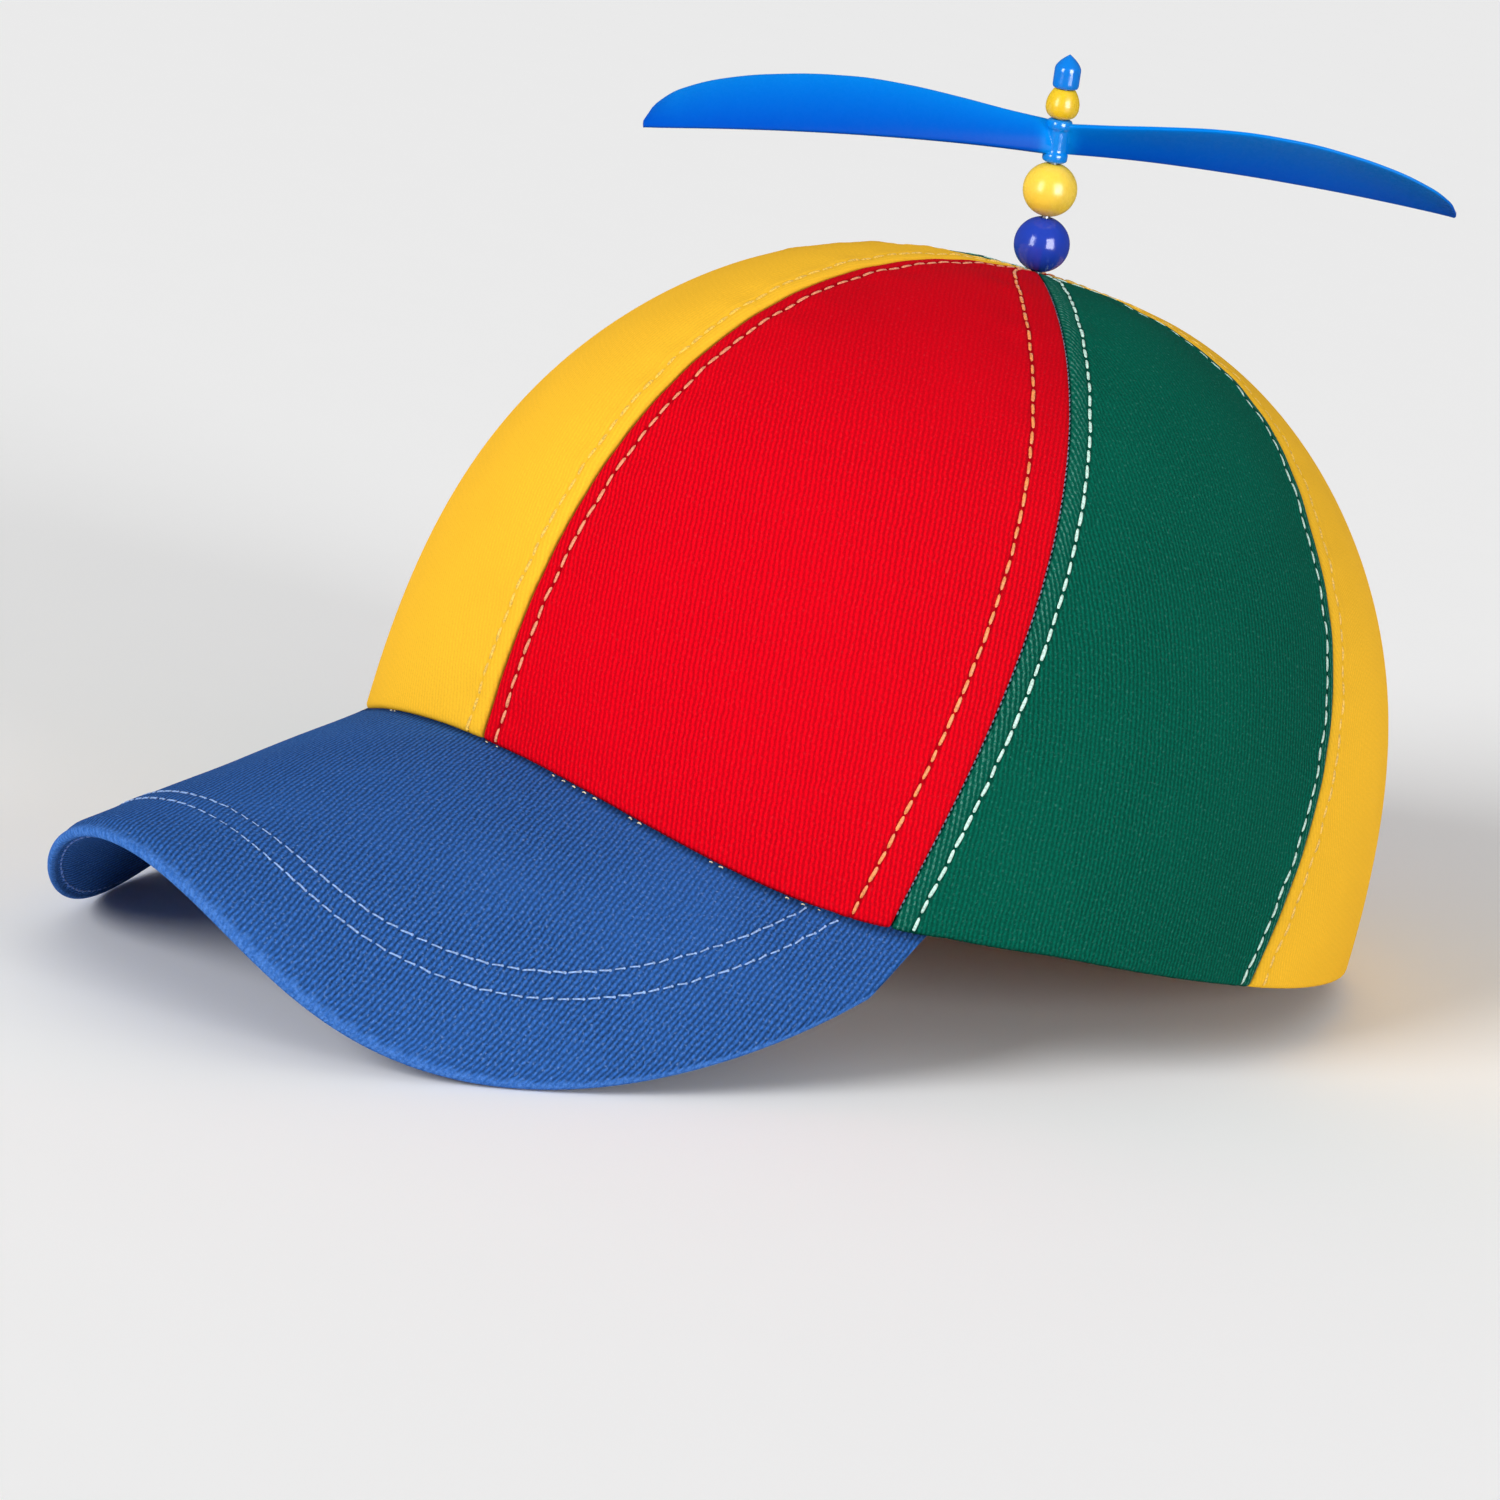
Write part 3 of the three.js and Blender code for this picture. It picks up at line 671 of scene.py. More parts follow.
class CapStage(bpy.types.PropertyGroup):
    azimuth: angle("Azimuth", "Way round the cap that the camera stands", 43.2511)
    elevation: angle("Elevation", "How high the camera stands", 14.4256)
    roll: angle("Roll", "How far the camera is rolled", 9.8818)
    distance: length("Distance", "From the camera to what it aims at", 1.1493)
    target: FloatVectorProperty(
        name="Target",
        description="What the camera aims at",
        default=(-0.019737, 0.024387, 0.028256),
        size=3,
        unit="LENGTH",
        precision=5,
    )
    lens: number("Lens", "Focal length in millimetres on a 36 mm frame", 149.876, 10)
    daylight: share("Room light", "Strength of the even light from all round", 0.44)
    key: share("Key light", "Strength of the light at the camera's left", 2.4)
    key_aside: angle("Key aside", "How far to the camera's left the key light stands", 46)
    key_height: angle("Key height", "How high the key light stands", 25)
    fill: share("Fill light", "Strength of the light at the camera's right", 1.4)
    fill_aside: angle("Fill aside", "How far to the camera's right the fill light stands", 48)
    fill_height: angle("Fill height", "How high the fill light stands", 15)
    spread: angle("Light spread", "How wide each light looks from the cap", 26)
    shine: number("Shine", "Brightness of the softboxes that the plastic mirrors", 12, 0)
    left_shine: angle("Left softbox aside", "How far to the camera's left one softbox stands", 44)
    right_shine: angle("Right softbox aside", "How far to the camera's right the other one stands", 34)
    mirrored: share("Mirrored room", "Strength of the room as plastic mirrors it", 0.1)
    backdrop: share("Backdrop", "Tone of the room where the camera looks past the floor", 0.83)


def material(name, maker, *facts):
    """The finish of that name, made once."""
    return bpy.data.materials.get(name) or maker(name, *facts)


# Each plastic's two colours, from plain to deep (on the blades the deep one is painted shade), and its
# roughness, inner glow and gloss
PLASTICS = {
    "deep_blue_plastic": ("deep_blue", "deep_blue", 0.13, 0.1, 0.5),
    "yellow_plastic": ("yellow_bead", "small_bead", 0.24, 0.2, 0.5),
    "blue_plastic": ("plastic_blue", "blade_edge", 0.12, 0.1, 0.7),
    "satin_blue_plastic": ("plastic_blue", "blade_edge", 0.24, 0.04, 0.04),
}


def plastic(kind):
    """The moulded plastic of that kind, in the cap's own colours."""
    colours = bpy.context.scene.cap_colours
    plain, deep, *finish = PLASTICS[kind]
    name = kind.replace("_", " ").capitalize()
    return material(name, moulded_plastic, getattr(colours, plain), getattr(colours, deep), *finish)


# Each cloth's rib contrast, grain, relief, flecks and fraying, how clear its ribs are and how dark the
# painted shade is high on the crown, and the painted shade beside a row of stitches
WEAVES = {
    "red": (0.5, 0.2, 1.0, 0.08, 0.0, 0.2, 0.48, 0.6),
    "green": (0.5, 0.45, 1.2, 0.25, 0.4, 0.4, 0.28, 0.6),
    "yellow": (0.12, 0.14, 0.4, 0.02, 0.0, 0.6, 0.07, 0.93),
    "blue": (0.7, 0.35, 1.3, 0.5, 0.0, 1.0, 0.4, 0.8),
}


def cloth_material(kind):
    scene = bpy.context.scene
    cloth = scene.cap_cloth
    pitch, lean = cloth.rib_pitch, cloth.rib_lean
    if kind == "blue":
        pitch, lean = cloth.visor_rib_pitch, cloth.visor_rib_lean
    facts = (pitch * 1000, lean, *WEAVES[kind])
    return material(f"{kind.capitalize()} twill", twill, getattr(scene.cap_colours, kind), cloth, facts)


# Crown

# Distances from a seam, in millimetres, at which a panel's columns lie, and from the rim for its rows
BESIDE_SEAM = (0, 0.12, 0.28, 0.5, 0.75, 1.1, 1.6, 2.2, 2.8, 3.2, 3.6, 4, 4.5, 5.2, 6, 6.8, 7.4, 8, 9, 10.5)
BESIDE_RIM = (0, 0.1, 0.25, 0.45, 0.7, 1, 1.4, 1.9, 2.6)
MIDDLE_COLUMNS = 26
ROW_STEP = 1.7
SEAM_HALF_GAP = 0.05
RIM_ROUND = 1.2
STITCH_CLEAR = 0.3
ROW_MERGE = 2.2
ROWS_MEET = 0.9
WIDEST_MARGIN = 0.4
ALLOWANCE_EDGE = 1.3
ALLOWANCE_PAST_ROW = (0.6, 3.2)
STITCH_HOLLOW = 0.6
PUCKER_PAST_ROW = 2
PUCKER_SPREAD = 4.5
BELLY_REACH = 20
WAVE_REACH = (3, 16)
FULL_WIDTH = 22
LEAST_RELIEF = 0.3
CLEAR_OF_SEAMS = 20
RIM_SHADE_UP = 0.2


class PanelSurface:
    """One crown panel: where its outer and inner faces lie and how its cloth lies flat."""

    def __init__(self, name, cloth):
        self.start, self.end, self.side, self.kind, *self.rows_at = PANELS[name]
        self.cloth = cloth
        self.set_rows()
        self.set_columns()
        self.outer = self.outer_face()
        angle, rise = self.side * self.angle, self.rise[:, None]
        self.inner = crown_point(angle, rise, cloth.thickness * 1000)

    def set_rows(self):
        stop = math.acos((EYELET / RIM_SIDE) ** (PLAN_FULLNESS / 2)) * 2 / math.pi
        rise = np.linspace(0, stop, 800)
        middle = (seam_angle(self.start, rise) + seam_angle(self.end, rise)) / 2
        up = lengths_along(crown_point(self.side * middle, rise))
        steps = int((up[-1] - BESIDE_RIM[-1]) / ROW_STEP)
        self.up = np.concatenate([BESIDE_RIM[:-1], np.linspace(BESIDE_RIM[-1], up[-1], steps)])
        self.rise = np.interp(self.up, up, rise)

    def set_columns(self):
        beside = np.array(BESIDE_SEAM)
        angles, places, widths = [], [], []
        for rise in self.rise:
            fine = np.linspace(seam_angle(self.start, rise), seam_angle(self.end, rise), 300)
            across = lengths_along(crown_point(self.side * fine, rise))
            width = across[-1] - 2 * SEAM_HALF_GAP
            scale = min(1, WIDEST_MARGIN * width / beside[-1])
            inner = np.linspace(beside[-1] * scale, width - beside[-1] * scale, MIDDLE_COLUMNS)
            place = np.concatenate([beside[:-1] * scale, inner, width - beside[-2::-1] * scale])
            angles.append(np.interp(place + SEAM_HALF_GAP, across, fine))
            places.append(place)
            widths.append(width)
        self.angle, self.place = np.array(angles), np.array(places)
        self.width = np.array(widths)[:, None]
        shares = np.array(self.rows_at) / sum(self.rows_at)
        room = np.maximum(self.width * shares, 0.01)
        self.row_places = (np.array(self.rows_at) ** -ROW_MERGE + room**-ROW_MERGE) ** (-1 / ROW_MERGE)

    def relief(self):
        """How far the cloth stands out from the plain crown, in millimetres."""
        cloth = self.cloth
        total = np.zeros_like(self.place)
        up = self.up[:, None]
        ends = (self.place, self.width - self.place)
        for index, beside in enumerate(ends):
            row_at = self.row_places[:, index, None]
            near, far = (row_at + past for past in ALLOWANCE_PAST_ROW)
            lifted = smoothstep(0, ALLOWANCE_EDGE, beside) * (1 - smoothstep(near, far, beside))
            ripple = np.sin(up * 0.74 + 3 * index) + np.sin(up * 0.47 + 1.7 + index)
            total -= cloth.seam_sink * rounded(beside, cloth.fold_width * 1000)
            total += cloth.allowance_rise * lifted
            total -= cloth.stitch_sink * np.exp(-(((beside - row_at) / STITCH_HOLLOW) ** 2))
            past = beside - row_at - PUCKER_PAST_ROW
            total += cloth.pucker * ripple * np.exp(-(past / PUCKER_SPREAD) ** 2)
        nearest = np.minimum(*ends)
        total += cloth.belly * (1 - (1 - np.clip(nearest / BELLY_REACH, 0, 1)) ** 2)
        u = self.side * (self.place - self.width / 2)
        swell = np.sin(u / 11 + 1.3) * np.sin(up / 17 + 0.6) + 0.6 * np.sin(u / 19 - up / 13)
        total += cloth.wave * swell * smoothstep(*WAVE_REACH, nearest)
        total *= np.clip(self.width / FULL_WIDTH, LEAST_RELIEF, 1)
        return total * 1000 - cloth.thickness * 600 * rounded(up, RIM_ROUND)

    def outer_face(self):
        plain = crown_point(self.side * self.angle, self.rise[:, None])
        self.normals = grid_normals(plain, plain - (0, 0, CROWN_HEIGHT / 3))
        return plain + self.normals * self.relief()[..., None]

    def row_of_stitches(self, end):
        """The line of stitches beside the panel's first or second seam, with the cloth's normals."""
        at = self.row_places[:, end]
        wanted = at if end == 0 else self.width[:, 0] - at
        line, lift = [], []
        clear = STITCH_CLEAR + 500 * bpy.context.scene.cap_stitches.dash
        sewn = (self.up > clear) & (self.up < self.up[-1] - clear)
        if end == 1:
            sewn &= self.width[:, 0] - self.row_places.sum(axis=1) > ROWS_MEET
        for row in np.flatnonzero(sewn):
            for kept, grid in ((line, self.outer), (lift, self.normals)):
                place = self.place[row]
                kept.append([np.interp(wanted[row], place, grid[row, :, axis]) for axis in range(3)])
        return np.array(line), np.array(lift)


def panel_surfaces():
    cloth = bpy.context.scene.cap_cloth
    return {name: PanelSurface(name, cloth) for name in PANELS}


class CAP_OT_crown(bpy.types.Operator):
    """Makes the six cloth panels of the crown"""

    bl_idname = "cap.crown"
    bl_label = "Crown panels"

    def execute(self, context):
        for name, panel in panel_surfaces().items():
            rows, columns = panel.place.shape
            points = to_rest(np.concatenate([panel.outer.reshape(-1, 3), panel.inner.reshape(-1, 3)]))
            piece = new_object(name + "_cloth", points, outward_faces(points, shell_faces(rows, columns)))
            u = panel.side * (panel.place - panel.width / 2)
            flat = np.stack([u, np.broadcast_to(panel.up[:, None], u.shape)], -1).reshape(-1, 2)
            add_cloth_map(piece, np.concatenate([flat, flat]))
            nearest = np.minimum(panel.place, panel.width - panel.place).ravel()
            add_layer(piece, "seam", np.concatenate([nearest, np.full_like(nearest, CLEAR_OF_SEAMS)]))
            add_layer(piece, "band", np.zeros(2 * nearest.size))
            # Distances that place painted shade beside each row of stitches and, through RIM_SHADE_UP, just
            # above the rim
            first, second = (panel.row_places[:, end, None] for end in (0, 1))
            from_second = np.abs(panel.width - panel.place - second)
            beside = np.minimum(np.abs(panel.place - first), from_second).ravel()
            above_rim = np.broadcast_to(panel.up[:, None] + RIM_SHADE_UP, panel.place.shape).ravel()
            beside = np.minimum(beside, above_rim)
            add_layer(piece, "row", np.concatenate([beside, np.full_like(nearest, CLEAR_OF_SEAMS)]))
            finish_mesh(piece, cloth_material(panel.kind))
            keep(piece, "cap", [name])
        return {"FINISHED"}


# Visor

VISOR_COLUMNS = 201
VISOR_ROWS = 100
EDGE_STEPS = 12
EDGE_TAPER = 4.5
BAND_WIDTH = 1.4
ROW_END = 0.995
JUNCTION_SHADE = 5
QUILT_HEIGHT = 0.2
FABRIC_WAVE = 0.12
ROW_FRONT_INWARD = 3.2
ROW_FRONT_SPAN = 0.4


def visor_row(distance, along):
    """A line on the flat sheet that keeps a distance, in millimetres, inside the visor's edge."""
    edge = visor_edge(along)
    way = np.gradient(edge, axis=0)
    way /= np.linalg.norm(way, axis=1, keepdims=True)
    inward = np.stack([way[:, 1], -way[:, 0]], -1)
    inward *= np.sign(np.sum(inward * ((0, VISOR_LENGTH / 3) - edge), axis=1)).mean()
    return edge + inward * np.asarray(distance)[..., None]


def visor_shaved(cloth, inside):
    """How much thinner each face of the visor is at a distance inside its edge, in millimetres."""
    most = (cloth.visor_thickness - cloth.visor_edge) * 500
    return most * (1 - smoothstep(cloth.visor_edge * 500, EDGE_TAPER, inside))


def row_distance(outer_row, along):
    """The rows lie further in at the middle of the front than at the sides."""
    return outer_row + ROW_FRONT_INWARD * (1 - smoothstep(0, ROW_FRONT_SPAN, np.abs(along)))


def rows_on_top(sewing):
    """The visor's two rows of stitches on the flat sheet."""
    along = np.linspace(-ROW_END, ROW_END, 601)
    first = row_distance(sewing.outer_row * 1000, along)
    return [visor_row(first + step, along) for step in (0, sewing.row_gap * 1000)]


def distance_to(line, grid):
    """How far each point of a grid is from a line."""
    return np.array([np.linalg.norm(row[:, None] - line, axis=-1).min(axis=1) for row in grid])


class CAP_OT_visor(bpy.types.Operator):
    """Makes the covered visor, with its rolled edge and the grooves that its stitches pull"""

    bl_idname = "cap.visor"
    bl_label = "Visor"

    def execute(self, context):
        cloth, sewing = context.scene.cap_cloth, context.scene.cap_stitches
        thick = cloth.visor_thickness * 1000
        along = np.linspace(-VISOR_ENDS, VISOR_ENDS, VISOR_COLUMNS)
        x, y = rim_at(along * VISOR_REACH, cloth.thickness * 1000)
        inner = np.stack(visor_below(x, y)[:2], -1)
        outer = visor_edge(along)
        length_of = np.linalg.norm(outer - inner, axis=1)
        thin = cloth.visor_edge * 1000
        radius = np.minimum(thin / 2, 0.45 * length_of)
        flat_end = length_of - radius
        levels = np.linspace(0, 1, VISOR_ROWS, endpoint=False)[:, None] * flat_end
        shaved = visor_shaved(cloth, length_of - levels)
        turn = np.linspace(0, math.pi, EDGE_STEPS + 1)[:, None]
        round_depth = thick / 2 - thin / 2 * np.cos(turn) + 0 * radius
        reach = np.concatenate([levels, flat_end + radius * np.sin(turn), levels[::-1]])
        depth = np.concatenate([shaved, round_depth, thick - shaved[::-1]])
        wrap = np.concatenate([0 * levels, radius * turn, 0 * levels])
        outward = (outer - inner) / length_of[:, None]
        place = inner + outward * reach[..., None]
        cloth_place = place + outward * wrap[..., None]
        cloth_place[-VISOR_ROWS:] += (thick, 0)
        inside = length_of - reach
        beside = [distance_to(line, place) for line in rows_on_top(sewing)]
        groove = sum(np.exp(-((gap / 0.7) ** 2)) for gap in beside)
        quilt = QUILT_HEIGHT * np.exp(-(((sum(beside) - sewing.row_gap * 1000) / 2.4) ** 2))
        fabric = FABRIC_WAVE * np.sin(place[..., 0] / 7.3 + 0.4) * np.sin(place[..., 1] / 9.1 + 1.1)
        on_top = smoothstep(thick * 0.5, 0, depth)
        depth = depth + on_top * (cloth.stitch_sink * 800 * groove - quilt - fabric)
        body = visor_point(place[..., 0], place[..., 1], depth)
        outside = (np.hypot(body[..., 0] / RIM_SIDE, body[..., 1] / RIM_FRONT) - 1) * RIM_SIDE
        points = to_rest(body)
        rows, columns = points.shape[:2]
        number = np.arange(rows * columns).reshape(rows, columns)
        corners = (number[:-1, :-1], number[1:, :-1], number[1:, 1:], number[:-1, 1:])
        faces = np.stack(corners, -1).reshape(-1, 4).tolist()
        faces += np.stack([number[-1, :-1], number[0, :-1], number[0, 1:], number[-1, 1:]], -1).tolist()
        for column, flip in ((0, 1), (columns - 1, -1)):
            ring = number[:, column]
            for index in range((rows - 1) // 2):
                corners = [ring[index], ring[rows - 1 - index], ring[rows - 2 - index], ring[index + 1]]
                corners = list(dict.fromkeys(int(corner) for corner in corners))
                if len(corners) > 2:
                    faces.append(corners[::flip])
        piece = recalculated(new_object("visor_cloth", points.reshape(-1, 3), faces))
        add_cloth_map(piece, cloth_place.reshape(-1, 2))
        above = np.arange(rows)[:, None] < VISOR_ROWS
        # Painted shadow under the crown's rim, fading out within 0.35 times JUNCTION_SHADE mm of it, and
        # painted shade along the two rows of stitches
        add_layer(piece, "seam", np.where(above, np.maximum(outside, 0) / JUNCTION_SHADE, 20))
        add_layer(piece, "row", np.where(above, np.minimum(*beside), 20))
        ragged = 0.25 * np.sin(place[..., 0] * 1.9) + 0.15 * np.sin(place[..., 0] * 4.3 + 1)
        add_layer(piece, "band", 1 - smoothstep(BAND_WIDTH - 0.3, BAND_WIDTH + 0.5, inside + ragged))
        finish_mesh(piece, cloth_material("blue"), 60)
        keep(piece, "cap", ["visor"])
        return {"FINISHED"}


# Stitches

# Where stitches show between crown and visor, as shares of the way from the middle to the visor's ends
TACKS = ((-0.7, -0.63), (-0.35, -0.33), (0.02, 0.05), (0.2, 0.3), (0.38, 0.4), (0.55, 0.57), (0.7, 0.76))

# How much of a seam shows thread, and how far the visor's rows lie off the cloth and the crown
SEAM_THREAD_SPAN = (0.01, 0.93)
ROW_HEIGHT = 0.05
ROW_OUTSIDE = 0.8
TACK_HEIGHT = 0.08
TACK_OUTSIDE = 0.3
BELOW_HEIGHT = 0.12
BELOW_SPAN = 0.9

# How far a stitch's ends dip and thin, and how far out its knot sits, as shares of its size
STITCH_DIP = 0.6
STITCH_THINNING = 0.4
KNOT_OUT = 0.47


def stitch_tree():
    """A node tree that lays a stitch with a knot at each step along the lines it is given."""
    tree = bpy.data.node_groups.new("Rows of stitches", "GeometryNodeTree")
    sockets = (
        ("Lines", "NodeSocketGeometry"), ("Pitch", "NodeSocketFloat"), ("Dash", "NodeSocketFloat"),
        ("Width", "NodeSocketFloat"), ("Height", "NodeSocketFloat"), ("Knot", "NodeSocketFloat"),
        ("Sway", "NodeSocketFloat"), ("Seed", "NodeSocketInt"), ("Steps", "NodeSocketInt"),
        ("Sides", "NodeSocketInt"), ("Thread", "NodeSocketMaterial"),
    )
    for name, kind in sockets:
        tree.interface.new_socket(name=name, in_out="INPUT", socket_type=kind)
    tree.interface.new_socket(name="Stitches", in_out="OUTPUT", socket_type="NodeSocketGeometry")
    given = tree.nodes.new("NodeGroupInput")
    result = tree.nodes.new("NodeGroupOutput")

    def add(kind, **inputs):
        node = tree.nodes.new(kind)
        for name, value in inputs.items():
            socket = node.inputs[name.replace("_", " ")]
            if isinstance(value, bpy.types.NodeSocket):
                tree.links.new(value, socket)
            else:
                socket.default_value = value
        return node

    def calculate(operation, first, second=0.0, third=0.0):
        node = tree.nodes.new("ShaderNodeMath")
        node.operation = operation
        for socket, value in zip(node.inputs, (first, second, third)):
            if isinstance(value, bpy.types.NodeSocket):
                tree.links.new(value, socket)
            else:
                socket.default_value = value
        return node.outputs[0]

    # One stitch whose ends thin out and dip into the cloth
    half = add("ShaderNodeCombineXYZ", X=calculate("MULTIPLY", given.outputs["Dash"], 0.5))
    far = add("ShaderNodeCombineXYZ", X=calculate("MULTIPLY", given.outputs["Dash"], -0.5))
    core = add("GeometryNodeCurvePrimitiveLine", Start=far.outputs[0], End=half.outputs[0])
    fine = add("GeometryNodeResampleCurve", Curve=core.outputs[0], Count=given.outputs["Steps"])
    along = calculate("MULTIPLY_ADD", add("GeometryNodeSplineParameter").outputs["Factor"], 2, -1)
    end = calculate("POWER", calculate("ABSOLUTE", along), 4)
    depth = calculate("MULTIPLY", given.outputs["Height"], -STITCH_DIP)
    dip = add("ShaderNodeCombineXYZ", Z=calculate("MULTIPLY", end, depth))
    bent = add("GeometryNodeSetPosition", Geometry=fine.outputs[0], Offset=dip.outputs[0])
    thin = calculate("MULTIPLY_ADD", end, -STITCH_THINNING, 1)
    tapered = add("GeometryNodeSetCurveRadius", Curve=bent.outputs[0], Radius=thin)
    radius = calculate("MULTIPLY", given.outputs["Width"], 0.5)
    ring = add("GeometryNodeCurvePrimitiveCircle", Resolution=given.outputs["Sides"], Radius=radius)
    outline = {"Curve": tapered.outputs[0], "Profile_Curve": ring.outputs[0]}
    dash = add("GeometryNodeCurveToMesh", **outline, Fill_Caps=True)
    flatness = calculate("DIVIDE", given.outputs["Height"], given.outputs["Width"])
    flat = add("ShaderNodeCombineXYZ", X=1, Y=1, Z=flatness)
    sized = add("GeometryNodeTransform", Geometry=dash.outputs[0], Scale=flat.outputs[0])
    ball = add("GeometryNodeMeshUVSphere", Segments=8, Rings=5, Radius=0.5)
    wide, high = given.outputs["Knot"], given.outputs["Height"]
    knot_size = add("ShaderNodeCombineXYZ", X=wide, Y=wide, Z=high)
    knot_place = add("ShaderNodeCombineXYZ", X=calculate("MULTIPLY", given.outputs["Dash"], KNOT_OUT))
    placing = {"Scale": knot_size.outputs[0], "Translation": knot_place.outputs[0]}
    knot = add("GeometryNodeTransform", Geometry=ball.outputs[0], **placing)
    stitch = tree.nodes.new("GeometryNodeJoinGeometry")
    tree.links.new(knot.outputs[0], stitch.inputs[0])
    tree.links.new(sized.outputs[0], stitch.inputs[0])

    # The rows: a stitch at each step, turned along the row and flat on the cloth
    lines = add("GeometryNodeMeshToCurve", Mesh=given.outputs["Lines"])
    steps = tree.nodes.new("GeometryNodeResampleCurve")
    steps.mode = "LENGTH"
    tree.links.new(lines.outputs[0], steps.inputs["Curve"])
    tree.links.new(given.outputs["Pitch"], steps.inputs["Length"])
    way = tree.nodes.new("GeometryNodeInputTangent")
    lift = tree.nodes.new("GeometryNodeInputNamedAttribute")
    lift.data_type = "FLOAT_VECTOR"
    lift.inputs["Name"].default_value = "lift"
    ahead = tree.nodes.new("FunctionNodeAlignRotationToVector")
    ahead.axis = "X"
    tree.links.new(way.outputs[0], ahead.inputs["Vector"])
    upright = tree.nodes.new("FunctionNodeAlignRotationToVector")
    upright.axis, upright.pivot_axis = "Z", "X"
    tree.links.new(ahead.outputs[0], upright.inputs["Rotation"])
    tree.links.new(lift.outputs["Attribute"], upright.inputs["Vector"])
    uneven = tree.nodes.new("FunctionNodeRandomValue")
    uneven.data_type = "FLOAT"
    values = {socket.identifier: socket for socket in uneven.inputs}
    tree.links.new(calculate("MULTIPLY", given.outputs["Sway"], -1), values["Min_001"])
    tree.links.new(given.outputs["Sway"], values["Max_001"])
    tree.links.new(given.outputs["Seed"], values["Seed"])
    slant = next(socket for socket in uneven.outputs if socket.identifier == "Value_001")
    spin = add("FunctionNodeAxisAngleToRotation", Axis=(0, 0, 1), Angle=slant)
    swayed = tree.nodes.new("FunctionNodeRotateRotation")
    swayed.rotation_space = "LOCAL"
    tree.links.new(upright.outputs[0], swayed.inputs["Rotation"])
    tree.links.new(spin.outputs[0], swayed.inputs["Rotate By"])
    sizes = tree.nodes.new("FunctionNodeRandomValue")
    sizes.data_type = "FLOAT"
    values = {socket.identifier: socket for socket in sizes.inputs}
    values["Min_001"].default_value, values["Max_001"].default_value = 0.86, 1.08
    tree.links.new(calculate("ADD", given.outputs["Seed"], 1), values["Seed"])
    size = next(socket for socket in sizes.outputs if socket.identifier == "Value_001")
    laid = add(
        "GeometryNodeInstanceOnPoints", Points=steps.outputs[0], Instance=stitch.outputs[0],
        Rotation=swayed.outputs[0], Scale=size,
    )
    real = add("GeometryNodeRealizeInstances", Geometry=laid.outputs[0])
    dyed = add("GeometryNodeSetMaterial", Geometry=real.outputs[0], Material=given.outputs["Thread"])
    tree.links.new(dyed.outputs[0], result.inputs[0])
    return tree


def baked(piece):
    """Replaces the piece's mesh with what its modifiers make of it."""
    graph = bpy.context.evaluated_depsgraph_get()
    mesh = bpy.data.meshes.new_from_object(piece.evaluated_get(graph))
    piece.modifiers.clear()
    old = piece.data
    piece.data = mesh
    bpy.data.meshes.remove(old)
    return piece


def sew(name, rows, thread, dash, gap, width, knot=0.0, sway=1.0, steps=9, sides=8):
    """Sews rows of (points, normals) in one thread, as one piece."""
    sewing = bpy.context.scene.cap_stitches
    points = np.concatenate([to_rest(line) for line, _ in rows])
    edges, first = [], 0
    for line, _ in rows:
        edges += [(first + step, first + step + 1) for step in range(len(line) - 1)]
        first += len(line)
    piece = new_object(name, points, [], edges)
    lift = piece.data.attributes.new("lift", "FLOAT_VECTOR", "POINT")
    origin = to_rest(np.zeros(3))
    ups = np.concatenate([to_rest(normals) - origin for _, normals in rows])
    ups /= np.linalg.norm(ups, axis=1, keepdims=True)
    lift.data.foreach_set("vector", ups.astype(np.float32).ravel())
    tree = bpy.data.node_groups.get("Rows of stitches") or stitch_tree()
    modifier = piece.modifiers.new("Stitches", "NODES")
    modifier.node_group = tree
    numbers = {
        "Pitch": dash + gap, "Dash": dash, "Width": width, "Height": min(width, sewing.height),
        "Knot": knot, "Sway": sewing.sway * sway, "Seed": sewing.seed, "Steps": steps, "Sides": sides,
        "Thread": thread,
    }
    for item in tree.interface.items_tree:
        if item.in_out == "INPUT" and item.name in numbers:
            modifier[item.identifier] = numbers[item.name]
    baked(piece)
    finish_mesh(piece, thread, 70)
    return piece


